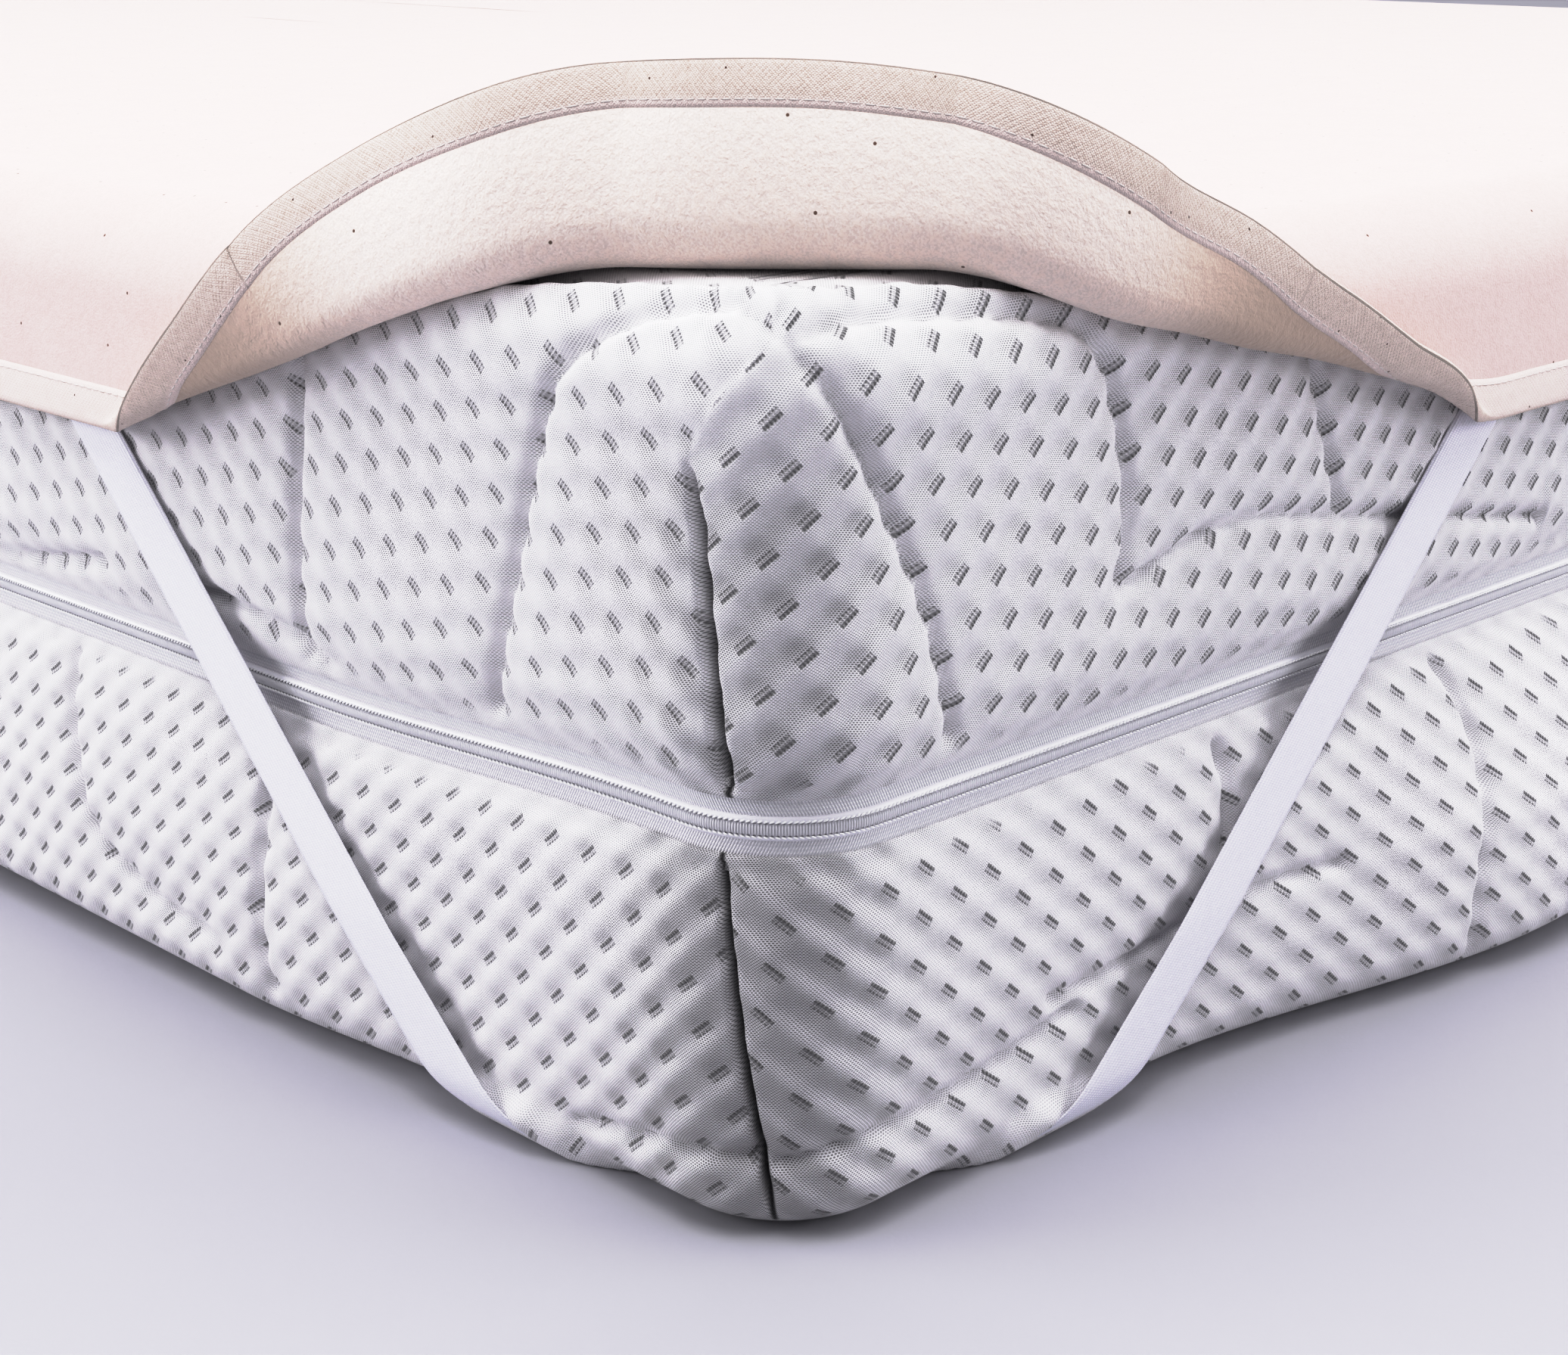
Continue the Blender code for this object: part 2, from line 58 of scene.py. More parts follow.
# Each side swells out between two distances from its corners, and its zip may sag
PLAIN_SIDE = {"start": 0.110, "full": 0.200, "swell": 0.007, "sag": 0.0}
SIDES = {
    "front": {"start": 0.125, "full": 0.290, "swell": 0.026, "sag": 0.0},
    "right": PLAIN_SIDE,
    "back": PLAIN_SIDE,
    "left": {**PLAIN_SIDE, "sag": 0.0045},
}
SAG_START = 0.040
SAG_FULL = 0.170

ZIP_Z = 0.0975
GAP = 0.0003
TAPE_SHOWN = 0.0027
TAPE_BACK = 0.0062
TAPE_HALF = 0.0103
LIP_Z = 0.0064
COIL_HALF = 0.0028
COIL_BASE = 0.0021
COIL_PITCH = 0.00135

SHEET = 0.002
OVERHANG = 0.0515
CUT_RADIUS = 0.200
BEND_RADIUS = 0.025
BEND_START = 0.022
FLARE = math.radians(5.0)
RING_IN = 0.130
BINDING = 0.0105
BINDING_SKIN = 0.0007
BINDING_RISE = 0.030
HANG = 0.045
HANG_WAVE = 0.004

STRAP_WIDTH = 0.017
STRAP = 0.001
STRAP_SLOPE = 1.13
STRAP_AT_HEM = 0.262
STRAP_HEM_Z = HEIGHT - 0.058
STRAP_TOP_Z = HEIGHT - 0.034
STRAP_BEND = 0.0143
STRAP_REST = 0.0008
STRAP_UNDER = 0.014
STRAP_STRAIGHT = STRAP_HEM_Z - STRAP_BEND - STRAP_REST

CURL_RADIUS = 0.065
# The turned-back corner, in millimetres and degrees. Columns: the place along the cut edge,
# what is trimmed off, how far the flap is turned back, and the radius and turn of its roll
TURNED_ROWS = (
    (-310, 0, -40, 4.0, 150),
    (-280, 0, -15, 4.0, 150),
    (-258, 0, 0, 4.0, 150),
    (-230, 0, 12, 4.1, 150),
    (-190, 0, 27, 4.6, 151),
    (-150, 0, 41, 5.4, 152),
    (-110, 0, 48, 7.0, 140),
    (-70, 0, 50, 9.0, 112),
    (-30, 0, 51, 10.6, 99),
    (10, 0, 51, 10.9, 99),
    (50, 0, 47, 10.0, 105),
    (90, 0, 44, 8.0, 131),
    (130, 6, 37, 6.1, 150),
    (170, 9, 27, 4.8, 154),
    (210, 7, 18, 4.3, 151),
    (245, 3, 11, 4.0, 150),
    (271, 0, 0, 4.0, 150),
    (292, 0, -15, 4.0, 150),
    (330, 0, -40, 4.0, 150),
)
TURNED = np.array(TURNED_ROWS) / (1000, 1000, 1000, 1000, math.degrees(1))
TURNED_AT, TURNED_SHAPE = TURNED[:, 0], TURNED[:, 1:]
TURNED_SLOPES = np.gradient(TURNED_SHAPE, TURNED_AT, axis=0)

# ---- how finely the pieces are built, and how far from the corner

COVER_STEP = 0.0013
DART_STEP = 0.0006
ZIP_STEP = 0.0025
SHEET_STEP = 0.0025
COVER_NEAR = 0.335
SHEET_NEAR = 0.33
TRIM_NEAR = 0.340
BEND_ROWS = 22
FLAP_ROWS = 30
EDGE_ROWS = 9
INNER_RINGS = 5

# ---- knit and quilting, millimetres

# The knit's slits on both sides of a corner, as (away from the corner, away from the zip):
# the step to the next slit in a row, the step to the next row, and one slit's place
KNIT = {
    "upper": {
        "left": {"across": (12.2, -2.4), "next": (-2.6, 10.4), "slit": (96.0, 157.4)},
        "right": {"across": (12.1, -2.4), "next": (-3.8, 10.5), "slit": (65.6, 154.0)},
    },
    "lower": {
        "left": {"across": (12.5, -0.9), "next": (-3.8, 9.8), "slit": (58.6, -63.4)},
        "right": {"across": (12.0, -2.0), "next": (-2.2, 10.8), "slit": (55.6, -65.8)},
    },
}
KNIT_STITCH = (0.76, 0.40)
SLIT_TURN = math.radians(41)
SLIT_HALF = 2.35
SLIT_RUNGS = 5
SLIT_RIMS = ((-1.1, -0.75), (0.45, 0.95))
SLIT_LADDER = (-1.0, 0.9)
# Where each slit's line lies across it: a groove with a painted shadow beside the ladder.
SLIT_LINE = (0.2, 0.75)
KNIT_REACH = 320.0
KNIT_FADE = 15.0
RIPPLE = {"upper": 0.50, "lower": 0.30}
LEFT_RIPPLE = {"upper": 0.55, "lower": 1.0}
BUMP = 0.26
SLIT_DENT = 0.35
UNEVEN = 0.9
PUFF = 1.1
PUFF_WIDE = 10.0
SEAM_DEPTH = 1.8
SEAM_WIDE = 2.3
SEAM_CREASE = 1.5
# The height of each cover's folded edge, from which the way along its side is measured
SIDE_FROM = {"upper": 106.0, "lower": 89.0}

# Quilting seams as places (along from a corner's middle, height)
SEAMS = {
    "upper": [
        [(-150, 197), (-155, 161), (-157, 133), (-155, 104)],
        [(-85, 103), (-82, 119), (-72, 158), (-65, 180), (-60, 191), (-42, 203), (-20, 210)]
        + [(-8, 208), (0, 202)],
        [(0, 202), (10, 192), (23, 171), (38, 145), (48, 112)],
        [(2, 202), (17, 206), (39, 205), (90, 199), (104, 187), (111, 168), (113, 151), (110, 134)],
        [(111, 134), (126, 137), (143, 142), (170, 142), (191, 138), (317, 118)],
        [(188, 186), (192, 174), (200, 155), (206, 137)],
        [(-317, 104), (-246, 116)],
        [(-204, 117), (-183, 116), (-159, 113), (-146, 107)],
    ],
    "lower": [
        [(-264, 92), (-264, 81), (-259, 58), (-250, 34), (-219, 22), (-193, 20)],
        [(-170, 92), (-170, 69), (-172, 29), (-168, 12)],
        [(154, 93), (159, 76), (157, 59)],
        [(259, 92), (266, 68), (261, 46), (255, 23), (256, 5)],
        [(86, 38), (116, 38), (165, 46), (201, 45)],
        [(-58, 13), (-31, 19), (-5, 22)],
        [(-2, 20), (18, 25), (44, 25), (95, 33)],
    ],
}
SEAMS_MEET_Z = 202.0
# The darts from their upper ends down, and where the slits are still mirrored above them
DARTS = {
    "upper": {
        "path": [(-22, 177), (-20, 168), (-17, 142), (-14, 120), (-12, 99)],
        "above": [(-14, 190), (-2, 203)],
        "depth": 9.0,
        "wide": 1.15,
    },
    "lower": {
        "path": [(-15, 97), (-12, 72), (-10, 53), (-6, 28), (-2, 2)],
        "above": [],
        "depth": 6.5,
        "wide": 0.9,
    },
}
TILE = 634.0
# How far up the side the mattress shows: the sheet's fold and hem
SHOWN_AT = (-262, -223, -146, -86, -16, 39, 91, 152, 216, 266)
SHOWN_TO = (150, 158, 187, 205, 216, 213, 201, 187, 171, 150)
# The bare corner's top swells from a height on, and the lower edge bulges over the straps
TOP_SWELL = 4.0
TOP_SWELL_FROM = 178
STRAP_BULGE = 4.6
STRAP_AT_BASE = 73
STRAP_LEAN = 1.65

# ---- stitches and coil: half sizes of a bead along its run, across it and outward

STITCH_PITCH = 0.0033
STITCH_IN = 0.0016
STITCH_REACH = 0.39
STITCH_RISE = 0.00006
STITCH_HALF = (0.00021, 0.00017)
TURN_HALF = (0.00125, 0.00024, 0.00042)
THREAD_HALF = (0.00058, 0.00026, 0.00034)
THREAD_RISE = 0.00178
THREAD_LEAN = 0.00022

# ---- studio

CORNER = Vector((-WIDTH / 2, -LENGTH / 2, 0.0))
AHEAD = Vector((1, 1, 0)).normalized()
ASIDE = Vector((1, -1, 0)).normalized()
CAMERA_BACK = 0.500
CAMERA_Z = 0.292
CAMERA_PITCH = math.radians(17.3)
FOCAL_PIXELS = 3404
PHOTO_WIDTH = 2072
SENSOR = 36.0
FLOOR_REACH = 9.0
FLOOR_CELLS = 12
# The picture's contrast: scene brightness and what shows of it
TONES = [(0.0, 0.0), (0.15, 0.085), (0.30, 0.205), (0.45, 0.385)]
TONES += [(0.60, 0.66), (0.72, 0.80), (0.86, 0.88), (1.0, 0.93)]


def smooth_step(share):
    share = np.clip(share, 0.0, 1.0)
    return share * share * (3 - 2 * share)


def bell(away, wide):
    """1 in the middle, falling off softly over a width."""
    return np.exp(-((away / wide) ** 2))


def unit(vectors):
    return vectors / np.linalg.norm(vectors, axis=-1, keepdims=True)


# ---- materials


class Finish:
    """A material with short calls for its nodes."""

    def __init__(self, name, colour, roughness, **sockets):
        self.material = bpy.data.materials.new(name)
        self.material.use_nodes = True
        self.tree = self.material.node_tree
        self.shader = self.tree.nodes["Principled BSDF"]
        self.put(self.shader.inputs["Base Color"], colour)
        self.shader.inputs["Roughness"].default_value = roughness
        for socket, value in sockets.items():
            title = socket.replace("_", " ").title().replace("Ior", "IOR")
            self.shader.inputs[title].default_value = value

    def put(self, socket, value):
        if isinstance(value, bpy.types.NodeSocket):
            self.tree.links.new(value, socket)
        else:
            socket.default_value = (*value, 1.0) if isinstance(value, tuple) else value

    def node(self, kind, *values, **settings):
        """A new node with values for its first inputs, and settings by name. A setting
        whose name has a capital is an input too."""
        made = self.tree.nodes.new("ShaderNode" + kind)
        for name, value in settings.items():
            if name.istitle():
                self.put(made.inputs[name], value)
            else:
                setattr(made, name, value)
        for socket, value in zip(made.inputs, values):
            self.put(socket, value)
        return made

    def math(self, operation, *values):
        return self.node("Math", *values, operation=operation).outputs[0]

    def times(self, value, by):
        return self.math("MULTIPLY", value, by)

    def scaled(self, value, by, plus):
        return self.math("MULTIPLY_ADD", value, by, plus)

    def attribute(self, name):
        """The three numbers of a vector attribute."""
        values = self.node("Attribute", attribute_name=name).outputs["Vector"]
        return tuple(self.node("SeparateXYZ", values).outputs)

    def joined(self, x, y):
        return self.node("CombineXYZ", x, y).outputs[0]

    def step(self, value, start, end):
        """0 at start and 1 at end, smooth between them."""
        made = self.node("MapRange", value, start, end, 0.0, 1.0, interpolation_type="SMOOTHSTEP")
        return made.outputs[0]

    def noise(self, where, scale, detail=2.0, roughness=0.5):
        made = self.node("TexNoise", where, Scale=scale, Detail=detail, Roughness=roughness)
        return made.outputs["Fac"]

    def wave(self, value, pitch):
        """0 to 1 and back over each pitch."""
        return self.scaled(self.math("COSINE", self.times(value, 2 * math.pi / pitch)), 0.5, 0.5)

    def knitted(self, u, v, wide, tall):
        """1 in the tiny holes of a knit, in rows shifted by half a stitch."""
        row = self.math("DIVIDE", v, tall)
        odd = self.math("FLOORED_MODULO", self.math("FLOOR", row), 2.0)
        along = self.wave(self.scaled(odd, wide / 2, u), wide)
        across = self.wave(self.math("ADD", self.math("FRACT", row), 0.5), 1.0)
        return self.step(self.times(along, across), 0.10, 0.6)

    def specks(self, where, scale, size, share):
        """1 in small round specks, one in a share of the pattern's cells."""
        cells = self.node("TexVoronoi", where, voronoi_dimensions="2D", Scale=scale)
        pick = self.node("SeparateColor", cells.outputs["Color"])
        speck = self.step(cells.outputs["Distance"], size, 0.018)
        return self.times(speck, self.math("GREATER_THAN", pick.outputs[0], 1 - share))

    def tint(self, share, first, second):
        made = self.node("Mix", share, data_type="RGBA")
        self.put(made.inputs[6], first)
        self.put(made.inputs[7], second)
        return made.outputs[2]

    def paint(self, share, first, second):
        self.put(self.shader.inputs["Base Color"], self.tint(share, first, second))

    def relief(self, millimetres):
        """Bump from a height in millimetres."""
        made = self.node("Bump", Strength=1.0, Distance=0.001, Height=millimetres)
        self.put(self.shader.inputs["Normal"], made.outputs[0])


def knit_finish(which):
    """Fine open knit with slits: "cell" holds the lattice places and how clear the slits are,
    "place" millimetres, and the third attribute how open the stitches are, the dart's crease
    and how strong the slits' line is. Open stitches darken the holes as painted shade on one
    side of each ripple and near the corner, the crease is painted near black as painted
    shade, and the slits' line is a groove with a painted shadow."""
    white = (0.915, 0.898, 0.922)
    name = "white_knit_" + which
    f = Finish(name, white, 0.82, sheen_weight=0.25, sheen_roughness=0.4, specular_ior_level=0.25)
    i, j, shown = f.attribute("cell")
    u, v, _ = f.attribute("place")
    open_and_shaded, crease, slit_line_and_shade = f.attribute("wear")
    sides = KNIT[which].values()
    across, onward = [np.mean([side[step] for side in sides], axis=0) for step in ("across", "next")]
    aside, above = [f.math("SUBTRACT", f.math("FRACT", place), 0.5) for place in (i, j)]
    along_slit = np.array([math.cos(SLIT_TURN), math.sin(SLIT_TURN)])
    over_slit = np.array([math.sin(SLIT_TURN), -math.cos(SLIT_TURN)])
    way, off = [
        f.scaled(aside, float(axis @ across), f.times(above, float(axis @ onward)))
        for axis in (along_slit, over_slit)
    ]

    def between(low, high):
        return f.times(f.step(off, low - 0.2, low + 0.15), f.step(off, high + 0.2, high - 0.15))

    def shade(share):
        return tuple(min(share * part, 0.95) for part in white)

    ends = f.times(f.step(f.math("ABSOLUTE", way), SLIT_HALF + 0.25, SLIT_HALF - 0.2), shown)
    gap = f.math("SUBTRACT", 1.0, f.wave(way, SLIT_HALF * 2 / SLIT_RUNGS))
    rims = f.math("ADD", *[between(*rim) for rim in SLIT_RIMS])
    ladder = f.scaled(between(*SLIT_LADDER), 0.30, f.times(rims, 0.55))
    ladder = f.times(ends, f.scaled(between(*SLIT_LADDER), 0.10, f.times(ladder, gap)))
    # The slit's line: a groove with a painted shadow, strongest right of the dart and weaker on the left.
    line = f.times(f.times(ends, slit_line_and_shade), between(*SLIT_LINE))
    line = f.times(line, f.scaled(gap, 0.3, 0.7))
    mesh = f.knitted(u, v, *KNIT_STITCH)
    cloudy = f.noise(f.joined(u, v), 0.12, 3.0)
    height = f.scaled(line, -0.7, f.times(ladder, -0.5))
    height = f.scaled(mesh, -0.18, height)
    f.relief(f.scaled(cloudy, 0.25, height))
    dark = f.math("MAXIMUM", ladder, f.times(line, 0.80))
    # The holes darken more where the stitches are open: painted shade on one side of each ripple and near
    # the corner.
    dark = f.math("MAXIMUM", dark, f.times(mesh, f.scaled(open_and_shaded, 0.62, 0.22)))
    tone = f.tint(cloudy, shade(0.98), shade(1.03))
    # Near the corner the whole knit is painted darker as painted shade.
    tone = f.tint(f.times(f.step(open_and_shaded, 0.55, 1.35), 0.40), tone, shade(0.24))
    tone = f.tint(dark, tone, shade(0.20))
    # The dart's crease painted near black: painted shade in the fold.
    f.paint(f.step(crease, 0.15, 1.0), tone, (0.03, 0.028, 0.032))
    return f.material


def flannel_finish():
    """Napped cotton: "flat" is the place on the cut cloth, and its third number is 1 on the
    napped underside, up to 2 where the turned corner runs out and the underside is painted
    darker as painted shade. The underside is painted much paler than the top, partly for its
    nap and partly as painted light."""
    cream = (0.69, 0.548, 0.532)
    sheen = {"sheen_weight": 0.35, "sheen_roughness": 0.5}
    f = Finish("natural_flannel", cream, 0.93, specular_ior_level=0.15, **sheen)
    u, v, under = f.attribute("flat")
    where = f.joined(u, v)
    clumps = f.noise(where, 420.0, 3.0, 0.6)
    nap = f.noise(where, 1700.0, 2.0, 0.6)
    turned = f.step(under, 0.0, 1.0)
    f.relief(f.scaled(nap, 0.13, f.times(clumps, f.scaled(turned, 0.34, 0.16))))
    # The napped underside is painted much paler than the top: partly its nap, partly painted light on the
    # turned flap.
    soft = f.tint(f.step(clumps, 0.3, 0.7), (0.95, 0.84, 0.77), (0.98, 0.89, 0.835))
    base = f.tint(f.scaled(turned, 0.88, 0.12), cream, soft)
    base = f.tint(f.times(f.noise(where, 60.0), 0.25), base, (0.90, 0.82, 0.79))
    # Painted shade: the underside darker where the turned corner runs out.
    base = f.tint(f.step(under, 1.0, 2.0), base, (0.55, 0.45, 0.385))
    fuzz = f.step(f.scaled(nap, 0.6, f.times(clumps, 0.4)), 0.44, 0.60)
    base = f.tint(f.times(fuzz, 0.22), base, (0.50, 0.41, 0.36))
    f.paint(f.specks(where, 62.0, 0.030, 0.28), base, (0.20, 0.13, 0.10))
    return f.material


def binding_finish():
    """Plain weave cut on the bias: "weave" is (along, across, 1 where it is paler), mm. Its face on the
    sheet's top side is paler as painted light.
    """
    f = Finish("beige_binding", (0.70, 0.60, 0.555), 0.9, sheen_weight=0.15, specular_ior_level=0.2)
    along, across, pale_and_lit = f.attribute("weave")
    pitch = 0.52
    one, two = [f.times(f.math(way, along, across), 0.7071) for way in ("ADD", "SUBTRACT")]
    crossed = [f.times(f.wave(a, pitch), f.wave(b, pitch * 2)) for a, b in ((one, two), (two, one))]
    threads = f.math("MAXIMUM", *crossed)
    slubs = [
        f.noise(f.joined(f.times(one, along_one), f.times(two, along_two)), 1.2)
        for along_one, along_two in ((0.25, 2.5), (2.5, 0.25))
    ]
    mixed = f.times(f.math("ADD", *slubs), 0.5)
    f.relief(f.scaled(threads, 0.14, f.times(mixed, 0.1)))
    weave = f.tint(threads, (0.54, 0.455, 0.41), (0.88, 0.785, 0.735))
    weave = f.tint(f.step(mixed, 0.35, 0.65), weave, (0.80, 0.715, 0.67))
    # Paler where marked: along the inner edge, and on the top side's face as painted light.
    weave = f.tint(f.times(pale_and_lit, 0.8), weave, (0.90, 0.80, 0.77))
    speck = f.specks(f.joined(along, across), 0.09, 0.032, 0.4)
    f.paint(speck, weave, (0.17, 0.11, 0.09))
    return f.material


def elastic_finish():
    """Woven elastic: ribs along it and fine picks across. "weave" in millimetres."""
    f = Finish("white_elastic", (0.80, 0.79, 0.88), 0.62, sheen_weight=0.2, specular_ior_level=0.35)
    along, across, _ = f.attribute("weave")
    ribs = f.wave(across, 1.06)
    picks = f.wave(f.scaled(ribs, 0.35, along), 0.7)
    uneven = f.noise(f.joined(along, across), 0.6)
    f.relief(f.scaled(ribs, 0.10, f.times(picks, 0.06)))
    tone = f.times(f.math("ADD", ribs, picks), 0.5)
    base = f.tint(tone, (0.74, 0.73, 0.81), (0.93, 0.92, 0.97))
    f.paint(f.times(uneven, 0.4), base, (0.80, 0.79, 0.87))
    return f.material


def tape_finish():
    """Woven zip tape with slanted ticks."""
    f = Finish("white_tape", (0.74, 0.72, 0.77), 0.66, specular_ior_level=0.3, sheen_weight=0.1)
    along, across, _ = f.attribute("weave")
    ticks = f.wave(f.scaled(f.math("ABSOLUTE", across), 0.55, along), 0.78)
    weave = f.times(ticks, f.scaled(f.wave(across, 0.9), 0.6, 0.4))
    f.relief(f.times(weave, 0.22))
    f.paint(f.step(weave, 0.12, 0.6), (0.68, 0.67, 0.71), (0.98, 0.97, 0.98))
    return f.material


def coil_finish():
    """The coil and the thread that holds it, slightly glossy."""
    f = Finish("clear_coil", (0.62, 0.61, 0.68), 0.38, specular_ior_level=0.5)
    along, across, thread = f.attribute("weave")
    grain = f.noise(f.joined(along, across), 3.0)
    f.relief(f.times(grain, 0.05))
    strip = f.tint(grain, (0.84, 0.83, 0.87), (0.91, 0.90, 0.93))
    off = f.math("ABSOLUTE", across)
    base = f.tint(f.step(off, 1.75, 1.45), strip, (0.68, 0.67, 0.71))
    beside = f.step(f.math("ABSOLUTE", f.math("SUBTRACT", off, 1.5)), 0.32, 0.18)
    dashes = f.times(beside, f.wave(along, COIL_PITCH * 1000))
    base = f.tint(f.times(dashes, 0.85), base, (0.16, 0.15, 0.18))
    f.paint(thread, base, (0.98, 0.98, 0.98))
    return f.material


def thread_finish():
    """Plied sewing thread. "weave" is (along, round) a stitch."""
    f = Finish("sewing_thread", (0.88, 0.82, 0.79), 0.6, sheen_weight=0.1)
    along, across, _ = f.attribute("weave")
    ply = f.wave(f.scaled(across, 2.0, along), 0.35)
    f.relief(f.times(ply, 0.05))
    f.paint(ply, (0.80, 0.73, 0.70), (0.92, 0.87, 0.84))
    return f.material


def floor_finish():
    f = Finish("studio_floor", (0.66, 0.65, 0.73), 0.75, specular_ior_level=0.2)
    where = f.node("NewGeometry").outputs["Position"]
    f.relief(f.times(f.noise(where, 900.0), 0.03))
    f.paint(f.noise(where, 2.0), (0.470, 0.464, 0.500), (0.480, 0.474, 0.510))
    return f.material


# ---- meshes


def placed(name, data):
    obj = bpy.data.objects.new(name, data)
    bpy.context.scene.collection.objects.link(obj)
    return obj


def piece(node, word, points, faces, finish, slot, stands=True, **attributes):
    """A mesh object that rides on the body, named for the CAD node that it stands for, or
    that it is on."""
    name = node + "_" + word
    mesh = bpy.data.meshes.new(name)
    mesh.from_pydata([tuple(p) for p in points], [], faces)
    for key, values in attributes.items():
        made = mesh.attributes.new(key, "FLOAT_VECTOR", "POINT")
        made.data.foreach_set("vector", np.asarray(values, dtype=np.float32).ravel())
    mesh.shade_smooth()
    mesh.materials.append(finish)
    mesh.validate()
    obj = placed(name, mesh)
    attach(obj, "root")
    if stands:
        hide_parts(node)
    return obj


def loft_faces(columns, rows, wrap_columns=True, wrap_rows=False, first=0):
    """Quads of a grid whose points are numbered column by column."""
    faces = []
    for column in range(columns if wrap_columns else columns - 1):
        near, far = first + column * rows, first + (column + 1) % columns * rows
        for row in range(rows if wrap_rows else rows - 1):
            after = (row + 1) % rows
            faces.append((near + row, far + row, far + after, near + after))
    return faces


def bead(into, centre, axes, thread, sides=6, stops=4):
    """Adds a rounded bar to lists of points, faces and attribute values. Its axes are half
    its length, width and height as vectors."""
    points, faces, weave = into
    first = len(points)
    for stop in range(stops + 1):
        t = -1 + 2 * stop / stops
        ring = math.sqrt(max(1 - abs(t) ** 3, 0.06))
        for k in range(sides):
            angle = 2 * math.pi * k / sides
            across = axes[1] * math.cos(angle) + axes[2] * math.sin(angle)
            points.append(centre + axes[0] * t + ring * across)
            weave.append((t, angle / 6, thread))
    for stop in range(stops):
        for k in range(sides):
            a, b = first + stop * sides + k, first + stop * sides + (k + 1) % sides
            faces.append((a, b, b + sides, a + sides))
    for end in (first, first + stops * sides):
        faces.append(tuple(end + k for k in range(sides)))


class Outline:
    """A rounded rectangle round the origin, walked from its front left corner's middle."""

    def __init__(self, width, length, radius):
        self.radius = radius
        self.core = np.array([width / 2, length / 2]) - radius
        self.runs = tuple(2 * self.core) * 2
        self.arc = radius * math.pi / 2
        self.around = sum(self.runs) + 4 * self.arc
        self.other_corners = [sum(self.runs[:k]) + k * self.arc for k in (1, 2, 3)]

    def from_start(self, at):
        return (at + self.around / 2) % self.around - self.around / 2

    def find(self, at):
        """The number of the side and how far along it with its first corner's arc, the
        point of the core there, and the outward direction."""
        left = (at + self.arc / 2) % self.around
        for number, (signs, run) in enumerate(zip(CORNER_SIGNS, self.runs)):
            if left <= self.arc + run:
                angle = math.pi + number * math.pi / 2 + min(left / self.radius, math.pi / 2)
                out = np.array([math.cos(angle), math.sin(angle)])
                onward = np.array([-out[1], out[0]]) * max(left - self.arc, 0.0)
                return number, left, self.core * signs + onward, out
            left -= self.arc + run
        raise ValueError("past the end of the outline")


MATTRESS = Outline(WIDTH, LENGTH, PLAN_RADIUS)
CUT = Outline(WIDTH + 2 * OVERHANG, LENGTH + 2 * OVERHANG, CUT_RADIUS)


class Station:
    """A vertical section of the mattress at a place along its outline."""

    def __init__(self, at):
        self.at = at
        number, left, self.base, self.out = MATTRESS.find(at)
        onward = left - MATTRESS.arc
        past = left - MATTRESS.arc / 2
        run = MATTRESS.runs[number if past >= 0 else number - 1]
        apart = run + MATTRESS.arc
        self.from_corner = (past if onward < run / 2 else past - apart) * 1000
        self.span = apart * 1000
        tile = self.span / round(self.span / TILE)
        self.seam_at = ((self.from_corner + tile / 2) % tile - tile / 2) * TILE / tile
        side = list(SIDES.values())[number]
        way = min(onward, run - onward) + PLAN_RADIUS
        self.swell = side["swell"] * smooth_step((way - side["start"]) / (side["full"] - side["start"]))
        self.sag = side["sag"] * smooth_step((way - SAG_START) / (SAG_FULL - SAG_START))

    def point(self, inset, z, swell=0.0, sag=0.0):
        x, y = self.base + self.out * (max(PLAN_RADIUS - inset, 0.0) + self.swell * swell)
        return np.array([x, y, z - self.sag * sag])


def stations(fine, coarse=0.018, around_dart=None):
    """Sections round the mattress: fine near the front left corner, coarse elsewhere, and
    close again at the other corners."""
    places = list(np.arange(-COVER_NEAR, COVER_NEAR, fine))
    if around_dart:
        low, high = -0.028, 0.004
        places = [p for p in places if not low < p < high]
        places = sorted(places + list(np.arange(low, high, around_dart)))
    at = COVER_NEAR + coarse / 2
    while at < MATTRESS.around - COVER_NEAR - coarse * 0.4:
        places.append(at)
        close = min(abs(at - corner) for corner in MATTRESS.other_corners)
        at += 0.0025 if close < PLAN_RADIUS else min(coarse, 0.003 + close / 3)
    return [Station(p) for p in places]


# ---- quilted covers


def smoothed(path):
    """A path with its corners cut twice, so that a seam runs in a curve."""
    points = np.array(path, float)
    for _ in range(2):
        a, b = points[:-1], points[1:]
        cut = np.stack([a * 0.75 + b * 0.25, a * 0.25 + b * 0.75], axis=1).reshape(-1, 2)
        points = np.vstack([points[:1], cut, points[-1:]])
    return points


def distance_to(paths, along, up):
    """The distance of each place to the nearest of the smoothed paths."""
    points = np.column_stack([along, up])
    best = np.full(len(points), 1e9)
    for path in map(smoothed, paths):
        for start, step in zip(path, np.diff(path, axis=0)):
            share = np.clip(((points - start) @ step) / (step @ step), 0, 1)
            away = points - start - share[:, None] * step
            best = np.minimum(best, np.hypot(away[:, 0], away[:, 1]))
    return best


def dart_line(which, height):
    """Where the slits are mirrored at a height: along the dart and on above it."""
    path = DARTS[which]["path"] + DARTS[which]["above"]
    heights, places = zip(*sorted((z, at) for at, z in path))
    return np.interp(height, heights, places)


def lattice(which, along, height):
    """Both lattice coordinates, with a slit at every half, and which places lie right."""
    right = along > dart_line(which, height)
    place = np.array([np.where(right, along, -along), height if which == "upper" else -height])
    both = np.zeros_like(place)
    for mask, side in ((right, "right"), (~right, "left")):
        spec = KNIT[which][side]
        steps = np.column_stack([spec["across"], spec["next"]])
        both[:, mask] = np.linalg.solve(steps, place[:, mask] - np.array(spec["slit"])[:, None]) + 0.5
    return both[0], both[1], right


